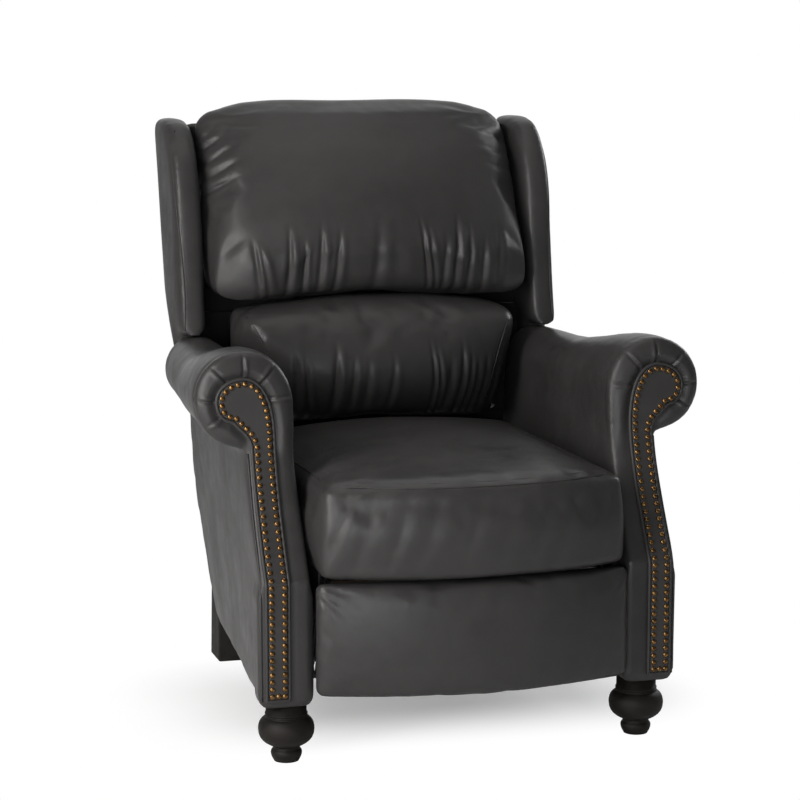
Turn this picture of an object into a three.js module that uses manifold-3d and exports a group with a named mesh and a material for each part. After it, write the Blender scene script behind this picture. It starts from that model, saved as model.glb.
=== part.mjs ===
// A push-back wing recliner in leather: fixed rolled arms, a back with two wings that reclines,
// a seat that glides forward and a footrest that unfolds on steel links.
// Millimetres. X runs across the chair, Y runs back from the line of the front feet, Z is up from the floor.

import * as THREE from "three";
import { mergeVertices } from "three/addons/utils/BufferGeometryUtils.js";
import Module from "manifold-3d";

const wasm = await Module();
wasm.setup();

// Clearances
const fit = 0.3; // between pieces that touch
const softGap = 6; // between padded pieces that pass one another
const weld = 0.001; // vertices closer than this are one
const overrun = 1; // how far a cut or a joined boss runs past a face

// The arms
const armGap = 533.2; // clear width between the two arms
const armInner = armGap / 2;
const armOuter = 352; // outside of the arm at its front post
const armBottom = 100;
const postFront = -41; // front of the lower post
const headFront = 57; // front of the scroll head
const kneeHeight = 300; // where the post starts to lean back
const neckHeight = 515; // where the lean ends
const leanPower = 1.43;
const headRake = 0.052; // lean of the scroll head, in lengths of run per length of height
const sideTaperLow = 0.0915; // how fast the outside draws in towards the rear, at the bottom
const sideTaperHigh = 0.026; // and under the roll
const armRear = 650; // furthest back point of an arm
const armRearRise = 30; // furthest back point of an arm, above the knee
const armRearHeight = kneeHeight + armRearRise;
const rearSweep = 64; // how far the arm's rear edge sweeps forward at the bottom
const rollRearLean = 0.12;
const rollOuter = 430;
const rollInner = 268;
const rollTopFront = 657;
const rollTopRear = 619;
const rollHalfHeightFront = 80;
const rollHalfHeightRear = 59;
const rollDipStart = 60;
const rollDipEnd = 424;
const rollCushion = 26; // radius of the padded front edge of the roll
const postCushion = 9; // radius of the padded edges of the post

// The front facing, its nail line and its welt
const nailColumnInner = 312;
const nailColumnOuter = 333;
const nailBottom = 118;
const nailTop = 605;
const nailHeadOuter = 389;
const nailHeadInner = 318;
const nailNeckHeight = 500;
const nailCheek = 28; // height of the scroll head's shoulders above its widest point
const facingMargin = 5; // from the nail line to the facing's edge
const facingThickness = 6;
const weltRadius = 3;
const weltSteps = 54;
const weltSeat = 1.9; // the welt's clearance to the arm and the facing

// Front feet, turned
const footOffset = 300; // from the middle to each foot's axis
const footToeRadius = 20;
const footRingRadius = 25;
const footRingHeight = 9;
const footNeckRadius = 21.5;
const footNeckHeight = 20;
const footBallRadius = 45;
const footBallHeight = 53;
const footBallHalf = 25;
const footGrooveRadius = 29;
const footGrooveHeight = 81;
const footCollarRadius = 32.5;
const footCollarHalf = 6;
const footFacets = 18;

// Rear legs and base rails
const legOutside = 276;
const legWidth = 54;
const legFront = 654;
const legDepth = 73;
const legRake = 14; // how much further back the foot of the leg stands than its top
const legTaper = 6;
const legTop = 168;
const railBottom = 108;
const sideRailThickness = 18;
const sideRailHeight = 60;
const sideRailFront = 40;
const crossRailHeight = 50;
const crossRailThickness = 22;
const frontRailY = 190;
const rearRailInset = 16;
const woodRound = 3;

// Steel plates of the mechanism stand in layers across the chair
const steel = 3;
const layerPitch = 5.4;
const rivetRadius = 3.2;
const rivetHead = 5.6;
const rivetHeadThickness = 1.5;
const rivetShoulder = 5.6;
const linkHalf = 6.5; // half the width of a link
const openHole = 6.2; // hole of the pivot where the closed linkage is opened
const openHead = 9.4;
const openEye = 9;
const pivotRadius = 6; // the stud that the back turns on
const pivotHead = 11;
const slotHalf = 5;
const studRadius = 4.4;

// The footrest linkage, folded: how far each pivot lies behind and below the one that carries it
const mainPivotY = 30;
const mainPivotDrop = 20.4; // below the top of the seat frame's flange
const guideSetback = 28.5; // from the main pivot to the guide pivot
const guideDrop = 15;
const mainRun = 61; // from the main pivot to the main joint
const mainFall = 138.5;
const boardRun = 51.5; // from the main joint forward and up to the board pivot
const boardRise = 140;
const tailRun = 20.5; // from the main joint back and down to the guide joint
const tailFall = 13.5;
const tieRun = 11.5; // from the main joint forward and down to the tie joint
const tieFall = 30.5;
const leverRun = 12; // from the board pivot forward and down to the tie pivot
const leverFall = 31;
const tubeAlongShare = 0.37; // place of the cross tube along the guide link
const tubeOffset = 17;
const tubeRadius = 8;
const tubeEye = 11;
const tubeWall = 1.5;
const tubeFacets = 16;

// The base plates and the seat plates
const basePlateBottom = 114;
const basePlateTop = 238;
const basePlateFront = 120;
const basePlateRear = 638;
const basePlateCorner = 14;
const towerHalf = 20;
const seatPlateDrop = 98;
const seatPlateFront = 12;
const crankDrop = 79.3; // from the back's hinge down to the pin of the seat plate
const studDrop = 86; // from the top of the seat plate to its sliding studs
const frontStudY = 205;
const rearStudY = 440;
const flangeCorner = 6;
const crankHole = 0.3; // clearance of the pins in their slots, on each side

// The back
const backLean = 15.1; // degrees from upright
const backFoot = 630; // rear face of the back at the height below
const backFootHeight = 300;
const backTop = 1004; // top of the wings
const backPanelThickness = 12;
const stileThickness = 22;
const backRailThickness = 20;
const stileWidth = 33;
const bracketLow = 15; // lengths up the back between which the bracket is bolted to the stile
const bracketHigh = 130;
const bracketHalf = 11;
const bracketWaist = 7;
const backRailHeight = 45;
const backRailLow = 40; // length up the back to the lower rail
const tongueFoot = -60; // length up the back to the lower edge of the panel's tongue
const tongueTop = 12; // where the panel widens, clear of the base plates
const panelStepHeight = 452; // where it widens again, behind the arms
const stileFootLength = -12;
const panelTopDrop = 14;
const panelCorner = 30;
const pivotY = 575; // hinge of the back
const pivotZ = 330;

// Wings
const wingInner = 306;
const wingOuter = 357;
const wingBottom = 624; // just clear of the arm below
const wingFrontBottom = 564;
const wingFrontTop = 612; // where the front edge starts to round over
const wingShoulder = 870;
const wingRound = 123; // run of the rounded top front corner
const wingEdge = 10;
const wingRearStand = 6.3; // how far a wing's rear edge stands behind the panel
const wingRearCorner = 22;
const wingTailTop = 690; // where the rear edge turns forward to the tail
const wingTail = 578; // lower end of the tail behind the arm
const wingTailRound = 18;
const wingBow = 0.54; // shares of the wing's runs and rises that bend its outline
const wingLowPull = 0.3;
const wingHighPull = 0.45;
const wingTopPull = 0.43;
const wingShoulderPull = 0.1;
const wingTailPull = 0.5;

// Cushions
const cushionSideGap = 4.6; // seat cushion to each arm
const seatBottom = 306;
const seatSeam = 452; // height of the seat cushion's top front seam
const seatCrown = 22;
const seatRear = 540;
const bowEnd = -58; // front of the bow at the arms
const bowDepth = 60; // how far the middle stands in front of that
const seatEdge = 15;
const seatPuff = 7; // how far the middle of the front border stands out
const seatDrawIn = 5; // how far the sides are drawn in at the seams
const lumbarHalf = 260;
const lumbarBottom = 460;
const lumbarTop = 690; // at its middle
const seamArch = 16; // how much higher the seam between the two back cushions is at the middle
const headHalf = 302;
const headBottom = 680; // at its sides
const headTop = 1037;
const lumbarFront = 488; // furthest forward line of the lower cushion at its sides
const lumbarSweep = 52; // how far the lower end of that line lies behind its furthest forward point
const lumbarDepth = 130;
const lumbarEdge = 24;
const headFrontLine = 534; // front of the upper cushion's lower lip at its sides
const headSweep = 196; // how far the upper end of that line lies behind its lower end
const headDrop = 36; // how far the top slopes away to its two corners
const headDropPower = 6;
const headDepth = 150;
const headEdge = 28;
const backBulge = 34; // how far the middle of a back cushion stands forward of its sides

// The seat frame
const glide = 50; // how far the seat runs forward
const seatRailWidth = 24;
const seatRailHeight = 23;
const seatRailFront = 36;
const seatRailRear = 500;
const springCount = 4;
const springWire = 2;
const springWaves = 6;
const springStepsPerWave = 6;
const springSwing = 22;
const springTaper = 6; // the waves grow over one part in this many at each end
const springSink = 6;
const springSpread = 132; // from the middle to the outer springs

// The footrest
const padHalf = 260;
const padBottom = 113;
const padTop = 296;
const padRear = -36;
const boardThickness = 18;
const boardMargin = 10;
const padEdge = 9;
const padPuff = 6;
const bracketFoot = 150;
const bracketToe = 16;
const flangeWidth = 20;

const leather = new THREE.MeshStandardMaterial({ color: 0x343131, roughness: 0.42, metalness: 0 });
const weltLeather = new THREE.MeshStandardMaterial({ color: 0x2c2a2a, roughness: 0.45, metalness: 0 });
const darkWood = new THREE.MeshStandardMaterial({ color: 0x1c1512, roughness: 0.5, metalness: 0 });
const frameWood = new THREE.MeshStandardMaterial({ color: 0xa98a62, roughness: 0.7, metalness: 0 });
const linkSteel = new THREE.MeshStandardMaterial({ color: 0x2b2c2e, roughness: 0.4, metalness: 0.8 });
const springSteel = new THREE.MeshStandardMaterial({ color: 0x6f6f70, roughness: 0.35, metalness: 0.9 });

const radians = THREE.MathUtils.degToRad;
const mix = THREE.MathUtils.lerp;
const smooth = THREE.MathUtils.smoothstep;
const clamp = THREE.MathUtils.clamp;
const axisX = new THREE.Vector3(1, 0, 0);
const axisY = new THREE.Vector3(0, 1, 0);
const axisZ = new THREE.Vector3(0, 0, 1);
// Turns a shape drawn in (Y, Z) and extruded along its own third axis so that it runs along X.
const drawnFromTheSide = new THREE.Matrix4().makeBasis(axisY, axisZ, axisX);
// Turns a shape drawn in (X, Z) and extruded along its own third axis so that it runs along -Y.
const drawnFromTheFront = new THREE.Matrix4().makeBasis(axisX, axisZ, axisY.clone().negate());

const chair = new THREE.Group();

function add(group, name, geometry, material) {
  const mesh = new THREE.Mesh(geometry, material);
  mesh.name = name;
  group.add(mesh);
  return mesh;
}

// Pieces of both sides are drawn at +X, and the left one is mirrored.
const sides = [
  { word: "left", group: new THREE.Group() },
  { word: "right", group: new THREE.Group() },
];
sides[0].group.scale.x = -1;
for (const side of sides) chair.add(side.group);

function addPair(name, geometry, material) {
  for (const side of sides) add(side.group, `${name}_${side.word}`, geometry.clone(), material);
}

function bare(geometry) {
  const only = new THREE.BufferGeometry().setAttribute("position", geometry.getAttribute("position"));
  if (geometry.index) only.setIndex(geometry.index);
  return mergeVertices(only, weld);
}

function solid(geometry) {
  const merged = bare(geometry);
  const vertProperties = merged.attributes.position.array;
  const triVerts = new Uint32Array(merged.index.array);
  return new wasm.Manifold(new wasm.Mesh({ numProp: 3, vertProperties, triVerts }));
}

function surface(manifold) {
  const mesh = manifold.getMesh();
  const points = new THREE.BufferAttribute(new Float32Array(mesh.vertProperties), 3);
  const geometry = new THREE.BufferGeometry().setAttribute("position", points);
  geometry.setIndex(new THREE.BufferAttribute(new Uint32Array(mesh.triVerts), 1));
  geometry.computeVertexNormals();
  return geometry;
}

function joined(first, ...others) {
  return surface(others.reduce((whole, other) => whole.add(solid(other)), solid(first)));
}

function cut(first, ...others) {
  return surface(others.reduce((whole, other) => whole.subtract(solid(other)), solid(first)));
}

// A closed skin over rows of points: each row is a ring, and the first and last rings are capped across.
function loft(rings, closeRing) {
  const count = rings[0].length;
  const points = rings.flat().flatMap((p) => [p.x, p.y, p.z]);
  const faces = [];
  for (let j = 0; j + 1 < rings.length; j += 1) {
    for (let i = 0; i < count; i += 1) {
      const a = j * count + i;
      const b = j * count + ((i + 1) % count);
      faces.push(a, b + count, b, a, a + count, b + count);
    }
  }
  const last = (rings.length - 1) * count;
  for (const [a, b, c] of closeRing) {
    faces.push(a, b, c);
    faces.push(last + c, last + b, last + a);
  }
  const geometry = new THREE.BufferGeometry();
  geometry.setAttribute("position", new THREE.Float32BufferAttribute(points, 3));
  geometry.setIndex(faces);
  geometry.computeVertexNormals();
  return geometry;
}

// Caps a ring made of rows: it goes up one edge and comes down the other, row by row.
function rowCap(rows) {
  const faces = [];
  const top = 2 * rows - 1;
  for (let k = 0; k + 1 < rows; k += 1) {
    faces.push([k, k + 1, top - k]);
    faces.push([k + 1, top - k - 1, top - k]);
  }
  return faces;
}

// Grid lines across a padded piece: close together in the rounded edges, even between them.
function gridLines(half, edge, middleCells, edgeShares) {
  const lines = edgeShares.map((share) => -half + edge * share);
  for (let i = 1; i < middleCells; i += 1) lines.push(mix(-half + edge, half - edge, i / middleCells));
  for (const share of [...edgeShares].reverse()) lines.push(half - edge * share);
  return lines;
}

const pinFacets = 10;
const edgeShares = [0, 0.42, 1]; // places of the grid lines in a rounded edge

const sideRailOuter = armInner - fit;
const sideRailInner = sideRailOuter - sideRailThickness;

// Outer face of a steel layer: the base plate is -1, the seat plate is 0, and the links count inwards.
function layerFace(layer) {
  return sideRailInner - fit - (layer + 1) * layerPitch;
}

// A box with rounded edges, gridded on all six faces, each point then moved by shapeOf(point, half).
function padded(half, edge, cells, shapeOf) {
  const lines = [
    gridLines(half.x, edge, cells[0], edgeShares),
    gridLines(half.y, edge, cells[1], edgeShares),
    gridLines(half.z, edge, cells[2], edgeShares),
  ];
  const core = new THREE.Vector3(half.x - edge, half.y - edge, half.z - edge);
  const points = [];
  const faces = [];
  const index = new Map();
  function vertex(i, j, k) {
    const key = `${i} ${j} ${k}`;
    if (!index.has(key)) {
      const point = new THREE.Vector3(lines[0][i], lines[1][j], lines[2][k]);
      const inside = point.clone().clamp(core.clone().negate(), core);
      const out = point.clone().sub(inside);
      if (out.lengthSq() > 0) point.copy(inside).addScaledVector(out.normalize(), edge);
      const placed = shapeOf(point, half);
      index.set(key, points.length / 3);
      points.push(placed.x, placed.y, placed.z);
    }
    return index.get(key);
  }
  for (let axis = 0; axis < 3; axis += 1) {
    const across = (axis + 1) % 3;
    const along = (axis + 2) % 3;
    for (const end of [0, lines[axis].length - 1]) {
      for (let u = 0; u + 1 < lines[across].length; u += 1) {
        for (let v = 0; v + 1 < lines[along].length; v += 1) {
          const corner = (du, dv) => {
            const at = [0, 0, 0];
            at[axis] = end;
            at[across] = u + du;
            at[along] = v + dv;
            return vertex(...at);
          };
          const [a, b, c, d] = [corner(0, 0), corner(1, 0), corner(1, 1), corner(0, 1)];
          if (end === 0) faces.push(a, c, b, a, d, c);
          else faces.push(a, b, c, a, c, d);
        }
      }
    }
  }
  const geometry = new THREE.BufferGeometry();
  geometry.setAttribute("position", new THREE.Float32BufferAttribute(points, 3));
  geometry.setIndex(faces);
  geometry.computeVertexNormals();
  return geometry;
}

const easedEdges = {
  bevelThickness: woodRound,
  bevelSize: woodRound,
  bevelOffset: -woodRound,
  bevelSegments: 2,
};

// A bar of wood with eased edges between two corners of a box.
function timber(low, high) {
  const size = new THREE.Vector3().subVectors(high, low);
  const outline = new THREE.Shape();
  outline.moveTo(woodRound, 0);
  outline.lineTo(size.y - woodRound, 0);
  outline.quadraticCurveTo(size.y, 0, size.y, woodRound);
  outline.lineTo(size.y, size.z - woodRound);
  outline.quadraticCurveTo(size.y, size.z, size.y - woodRound, size.z);
  outline.lineTo(woodRound, size.z);
  outline.quadraticCurveTo(0, size.z, 0, size.z - woodRound);
  outline.lineTo(0, woodRound);
  outline.quadraticCurveTo(0, 0, woodRound, 0);
  const bar = new THREE.ExtrudeGeometry(outline, { depth: size.x, bevelEnabled: false, curveSegments: 2 });
  return bar.applyMatrix4(drawnFromTheSide).translate(low.x, low.y, low.z);
}

// Arms

// Front of an arm at a height: upright post, lean above the knee, upright scroll head.
function armFront(z) {
  const lean = headFront - postFront;
  if (z <= kneeHeight) return postFront;
  if (z >= neckHeight) return headFront + (z - neckHeight) * headRake;
  const share = (z - kneeHeight) / (neckHeight - kneeHeight);
  return postFront + lean * (1 - (1 - share) ** leanPower);
}

function armBack(z) {
  if (z > armRearHeight) return armRear - (z - armRearHeight) * rollRearLean;
  const share = (armRearHeight - z) / (armRearHeight - armBottom);
  return armRear - rearSweep * share * share;
}

function rollAt(y) {
  const dip = smooth(y, rollDipStart, rollDipEnd);
  const outer = rollOuter - Math.max(0, y - rollDipStart) * sideTaperLow;
  const halfHeight = mix(rollHalfHeightFront, rollHalfHeightRear, dip);
  const halfWidth = (outer - rollInner) / 2;
  return { x: outer - halfWidth, z: mix(rollTopFront, rollTopRear, dip) - halfHeight, halfWidth, halfHeight };
}

function sideAt(y, z) {
  const share = clamp((z - armBottom) / (neckHeight - armBottom), 0, 1);
  return armOuter - Math.max(0, y) * mix(sideTaperLow, sideTaperHigh, share);
}

const rollUnderShare = 0.97; // how far down the roll's half height its underside starts
const armPostShares = [0, 0.33, 1];
const armLeanRows = 8;
const rollAngles = [-75, -58, -40, -20, 0, 18, 36, 52, 66, 78, 90];

// The rows of an arm's section at a station: each has a height, an inner and an outer X.
function armRows(stationY, inset, rollInset) {
  const roll = rollAt(stationY);
  const rows = [];
  for (const share of edgeShares.slice(1)) {
    const z = armBottom + inset + postCushion * share;
    const side = (1 - Math.sqrt(1 - (1 - share) ** 2)) * postCushion;
    rows.push({ z, inner: armInner + inset + side, outer: sideAt(stationY, z) - inset - side });
  }
  rows.unshift({
    z: armBottom + inset,
    inner: armInner + inset + postCushion,
    outer: sideAt(stationY, armBottom) - inset - postCushion,
  });
  const start = armBottom + inset + postCushion;
  for (const share of armPostShares.slice(1)) {
    const z = mix(start, kneeHeight, share);
    rows.push({ z, inner: armInner + inset, outer: sideAt(stationY, z) - inset });
  }
  const under = roll.z - (roll.halfHeight - rollInset) * rollUnderShare - overrun;
  for (let i = 1; i <= armLeanRows; i += 1) {
    const z = mix(kneeHeight, under, i / armLeanRows);
    const blend = mix(inset, rollInset, smooth(z, kneeHeight, neckHeight));
    rows.push({ z, inner: armInner + blend, outer: sideAt(stationY, z) - inset });
  }
  for (const degrees of rollAngles) {
    const angle = radians(degrees);
    const width = roll.halfWidth - rollInset;
    const height = roll.halfHeight - rollInset;
    const reach = degrees < 0 ? width : width * Math.cos(angle);
    const inner = Math.max(armInner + rollInset, roll.x - reach);
    rows.push({ z: roll.z + height * Math.sin(angle), inner, outer: roll.x + width * Math.cos(angle) });
  }
  return rows;
}

function armSkin() {
  const roundAngles = [0, 30, 60, 90];
  const lengthShares = [0.08, 0.2, 0.35, 0.5, 0.66, 0.84, 1];
  const stations = [];
  for (const degrees of roundAngles) {
    const angle = radians(degrees);
    stations.push({ share: 0, depth: 1 - Math.cos(angle), inset: 1 - Math.sin(angle) });
  }
  for (const share of lengthShares) stations.push({ share, depth: 1, inset: 0 });
  const rings = stations.map((station) => {
    const guess = mix(headFront, armRear, station.share);
    const rows = armRows(guess, station.inset * postCushion, station.inset * rollCushion);
    const place = (row, x) => {
      const cushion = mix(postCushion, rollCushion, smooth(row.z, kneeHeight, neckHeight));
      const y = mix(armFront(row.z) + cushion * station.depth, armBack(row.z), station.share);
      return new THREE.Vector3(x, y, row.z);
    };
    const up = rows.map((row) => place(row, row.outer));
    const down = [...rows].reverse().map((row) => place(row, row.inner));
    down[0].x -= fit;
    return [...up, ...down];
  });
  return loft(rings, rowCap(rings[0].length / 2));
}

addPair("arm", armSkin(), leather);

// The arm's front face as it is built: straight between the rows of its front ring.
const frontRows = armRows(headFront, postCushion, rollCushion);

function faceAt(z) {
  const next = frontRows.findIndex((row) => row.z > z);
  if (next < 1) return armFront(z);
  const [low, high] = [frontRows[next - 1].z, frontRows[next].z];
  return mix(armFront(low), armFront(high), (z - low) / (high - low));
}

// The facing follows the nail line at a margin, and its front follows the arm's front.
function nailLine() {
  const neck = (nailTop - nailNeckHeight) / 2;
  const middle = nailNeckHeight + neck;
  const centre = (nailHeadInner + nailHeadOuter) / 2;
  const neckOut = centre + nailCheek / 2;
  const line = new THREE.Path();
  line.moveTo(nailColumnOuter, nailBottom);
  line.lineTo(nailColumnOuter, nailNeckHeight);
  line.bezierCurveTo(
    nailColumnOuter + fit, middle - neck / 2,
    centre, middle - neck / 3,
    neckOut, middle - fit,
  );
  line.bezierCurveTo(
    centre + nailCheek, middle + fit,
    nailHeadOuter, middle + neck / 6,
    nailHeadOuter, nailTop - nailCheek,
  );
  line.bezierCurveTo(nailHeadOuter, nailTop - nailCheek / 3, neckOut, nailTop, centre, nailTop);
  line.bezierCurveTo(
    centre - nailCheek, nailTop,
    nailColumnInner, middle + neck / 4,
    nailColumnInner, nailNeckHeight + nailCheek / 2,
  );
  line.lineTo(nailColumnInner, nailBottom);
  return line;
}

function offsetLine(distance) {
  const points = nailLine().getPoints(7);
  return points.map((point, i) => {
    const before = points[Math.max(0, i - 1)];
    const after = points[Math.min(points.length - 1, i + 1)];
    const along = after.clone().sub(before).normalize();
    const shifted = new THREE.Vector2(point.x + along.y * distance, point.y - along.x * distance);
    if (i === 0 || i === points.length - 1) shifted.y = nailBottom - distance;
    return shifted;
  });
}

function spanAt(line, z) {
  const crossings = [];
  for (let i = 0; i + 1 < line.length; i += 1) {
    const [low, high] = line[i].y < line[i + 1].y ? [line[i], line[i + 1]] : [line[i + 1], line[i]];
    if (z >= low.y && z <= high.y && high.y > low.y) {
      crossings.push(mix(low.x, high.x, (z - low.y) / (high.y - low.y)));
    }
  }
  return [Math.min(...crossings), Math.max(...crossings)];
}

function facing() {
  const line = offsetLine(facingMargin);
  const bottom = nailBottom - facingMargin;
  const top = Math.max(...line.map((point) => point.y));
  const headStart = frontRows[frontRows.length - rollAngles.length].z;
  const shared = frontRows.map((row) => row.z).filter((z) => z > bottom + overrun && z < headStart);
  const headShares = [0, 0.14, 0.28, 0.42, 0.56, 0.7, 0.82, 0.91, 0.97, 0.998];
  const heights = [bottom + fit, ...shared, ...headShares.map((share) => mix(headStart, top, share))];
  const ring = (front) => {
    const edge = (end) => (z) => new THREE.Vector3(spanAt(line, z)[end], faceAt(z) + front, z);
    return [...heights.map(edge(1)), ...[...heights].reverse().map(edge(0))];
  };
  const soft = overrun + fit;
  const shrink = (row) =>
    row.map((point) => {
      const middle = (nailColumnInner + nailColumnOuter) / 2;
      return new THREE.Vector3(mix(point.x, middle, soft / armOuter), point.y, point.z);
    });
  const rings = [shrink(ring(-facingThickness)), ring(soft - facingThickness), ring(-fit)];
  return loft(rings, rowCap(heights.length));
}

addPair("arm_facing", facing(), leather);

// A cord along a list of points, closed at both ends; halfSides is half the number of its sides.
function cord(points, radius, halfSides) {
  const curve = new THREE.CatmullRomCurve3(points);
  const section = new THREE.Shape();
  section.absarc(0, 0, radius, 0, 2 * Math.PI);
  const steps = points.length - 1;
  return new THREE.ExtrudeGeometry(section, {
    steps,
    extrudePath: curve,
    curveSegments: halfSides,
    bevelEnabled: false,
  });
}

function welt() {
  const path = new THREE.Path(offsetLine(facingMargin + weltRadius + weltSeat));
  const weltPitch = path.getLength() / weltSteps;
  const points = path.getSpacedPoints(weltSteps).map((point) => {
    const knee = Math.abs(point.y - kneeHeight) < weltPitch / 2;
    const z = knee ? kneeHeight : point.y;
    return new THREE.Vector3(point.x, faceAt(z) - weltRadius - weltSeat - fit, z);
  });
  return cord(points, weltRadius, 3);
}

addPair("arm_welt", welt(), weltLeather);

// Feet, legs and base rails

function turnedFoot() {
  const outline = new THREE.Path();
  outline.moveTo(0, 0);
  outline.lineTo(footToeRadius, 0);
  outline.quadraticCurveTo(footRingRadius, footRingHeight / 3, footRingRadius, footRingHeight);
  outline.quadraticCurveTo(footRingRadius, footNeckHeight - overrun, footNeckRadius, footNeckHeight);
  outline.lineTo(footNeckRadius, footBallHeight - footBallHalf);
  const bulge = (8 * footBallRadius - footNeckRadius - footGrooveRadius) / 6;
  outline.bezierCurveTo(
    bulge, footBallHeight - footBallHalf,
    bulge, footBallHeight + footBallHalf,
    footGrooveRadius, footGrooveHeight - overrun,
  );
  outline.lineTo(footGrooveRadius, footGrooveHeight);
  const collarMiddle = footGrooveHeight + footCollarHalf;
  const collarTop = collarMiddle + footCollarHalf;
  outline.quadraticCurveTo(footCollarRadius, footGrooveHeight, footCollarRadius, collarMiddle);
  outline.quadraticCurveTo(footCollarRadius, collarTop, footGrooveRadius, collarTop);
  outline.lineTo(footGrooveRadius, armBottom - fit);
  outline.lineTo(0, armBottom - fit);
  return new THREE.LatheGeometry(outline.getPoints(3), footFacets).rotateX(Math.PI / 2);
}

addPair("front_foot", turnedFoot().translate(footOffset, 0, 0), darkWood);

function rearLeg() {
  const outline = new THREE.Shape();
  outline.moveTo(legFront, 0);
  outline.lineTo(legFront + legDepth, 0);
  outline.lineTo(legFront + legDepth - legRake, legTop);
  outline.lineTo(legFront - legRake + legTaper, legTop);
  outline.closePath();
  const depth = legWidth - 2 * woodRound;
  const block = new THREE.ExtrudeGeometry(outline, { depth, ...easedEdges });
  return block.applyMatrix4(drawnFromTheSide).translate(legOutside - legWidth + woodRound, 0, 0);
}

addPair("rear_leg", rearLeg(), darkWood);

const legFrontAtRail = legFront - legRake + legTaper - fit;
addPair(
  "base_side_rail",
  timber(
    new THREE.Vector3(sideRailInner, sideRailFront, railBottom),
    new THREE.Vector3(sideRailOuter, legFrontAtRail - fit, railBottom + sideRailHeight),
  ),
  frameWood,
);

const legInside = legOutside - legWidth;
const baseRailSpan = { base_front_rail: layerFace(-1) - steel - fit, base_rear_rail: legInside - fit };
const baseRailFront = { base_front_rail: frontRailY, base_rear_rail: legFront + rearRailInset };
for (const name of Object.keys(baseRailSpan)) {
  const low = new THREE.Vector3(-baseRailSpan[name], baseRailFront[name], railBottom);
  const rear = baseRailFront[name] + crossRailThickness;
  const high = new THREE.Vector3(baseRailSpan[name], rear, railBottom + crossRailHeight);
  add(chair, name, timber(low, high), frameWood);
}

// Soft pieces of the seat and the footrest

// The bowed front that the seat cushion and the footrest share.
function bowAt(x, half) {
  return bowEnd - bowDepth * (1 - (x / half) ** 2);
}

const cushionHalf = armInner - cushionSideGap;

function seatCushion() {
  const depth = seatRear - bowEnd;
  const half = new THREE.Vector3(cushionHalf, depth / 2, (seatSeam - seatBottom) / 2);
  return padded(half, seatEdge, [10, 8, 2], (point) => {
    const across = 1 - (point.x / half.x) ** 2;
    const back = (point.y + half.y) / depth;
    const up = (point.z + half.z) / (2 * half.z);
    const crown = seatCrown * across ** 0.7 * Math.sin(Math.PI * mix(0.12, 0.93, back)) * up ** 3;
    const puff = seatPuff * Math.sin(Math.PI * up) * (1 - back) ** 6;
    const drawnIn = seatDrawIn * Math.sin(Math.PI * back) * (1 - Math.sin(Math.PI * up));
    const y = mix(bowAt(point.x, half.x), seatRear, back) - puff;
    return new THREE.Vector3(point.x * (1 - drawnIn / half.x), y, seatBottom + half.z + point.z + crown);
  });
}

add(chair, "seat_cushion", seatCushion(), leather);

function footrestPad() {
  const depth = padRear - bowEnd;
  const half = new THREE.Vector3(padHalf, depth / 2, (padTop - padBottom) / 2);
  return padded(half, padEdge, [10, 1, 6], (point) => {
    const back = (point.y + half.y) / depth;
    const up = (point.z + half.z) / (2 * half.z);
    const puff = padPuff * Math.sin(Math.PI * up) * (1 - back);
    const y = mix(bowAt(point.x, half.x), padRear, back) - puff;
    return new THREE.Vector3(point.x, y, padBottom + half.z + point.z);
  });
}

add(chair, "footrest_pad", footrestPad(), leather);

// The back: a frame that leans, drawn upright and then tilted about its foot.

const lean = radians(backLean);
const backFrame = new THREE.Group();
backFrame.position.set(0, backFoot, backFootHeight);
backFrame.rotation.x = -lean;
chair.add(backFrame);

const backThickness = backPanelThickness + fit + stileThickness + fit + backRailThickness;

// Front of the leaning frame at a height, with a distance in front of it.
function frameFront(z, distance) {
  return backFoot + (z - backFootHeight) * Math.tan(lean) - (backThickness + distance) / Math.cos(lean);
}

// Length up the leaning back for a height.
function upBack(z) {
  return (z - backFootHeight) / Math.cos(lean);
}

const panelWide = wingInner - fit;
const panelNarrow = armInner - softGap;
const stileOuter = layerFace(1) - steel - fit;
const tongueHalf = stileOuter - softGap;
const panelStep = upBack(panelStepHeight);
const panelTopLength = upBack(backTop) - panelTopDrop;

function backPanel() {
  const outline = new THREE.Shape();
  outline.moveTo(-tongueHalf, tongueFoot);
  outline.lineTo(tongueHalf, tongueFoot);
  outline.lineTo(tongueHalf, tongueTop);
  outline.lineTo(panelNarrow, tongueTop);
  outline.lineTo(panelNarrow, panelStep);
  outline.lineTo(panelWide, panelStep);
  outline.lineTo(panelWide, panelTopLength - panelCorner);
  outline.quadraticCurveTo(panelWide, panelTopLength, panelWide - panelCorner, panelTopLength);
  outline.lineTo(panelCorner - panelWide, panelTopLength);
  outline.quadraticCurveTo(-panelWide, panelTopLength, -panelWide, panelTopLength - panelCorner);
  outline.lineTo(-panelWide, panelStep);
  outline.lineTo(-panelNarrow, panelStep);
  outline.lineTo(-panelNarrow, tongueTop);
  outline.lineTo(-tongueHalf, tongueTop);
  outline.closePath();
  const depth = backPanelThickness - 2 * woodRound;
  const panel = new THREE.ExtrudeGeometry(outline, { depth, curveSegments: 6, ...easedEdges });
  return panel.applyMatrix4(drawnFromTheFront).translate(0, -woodRound, 0);
}

add(backFrame, "back_panel", backPanel(), leather);

const stileInner = stileOuter - stileWidth;
const stileBack = -backPanelThickness - fit;
const stileFront = stileBack - stileThickness;
const stileTopLength = panelTopLength - panelCorner / 2;
for (const side of sides) {
  const word = side.word;
  const sign = word === "left" ? -1 : 1;
  const across = [sign * stileInner, sign * stileOuter].sort((a, b) => a - b);
  const low = new THREE.Vector3(across[0], stileFront, stileFootLength);
  const high = new THREE.Vector3(across[1], stileBack, stileTopLength);
  add(backFrame, `back_stile_${word}`, timber(low, high), frameWood);
}

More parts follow.
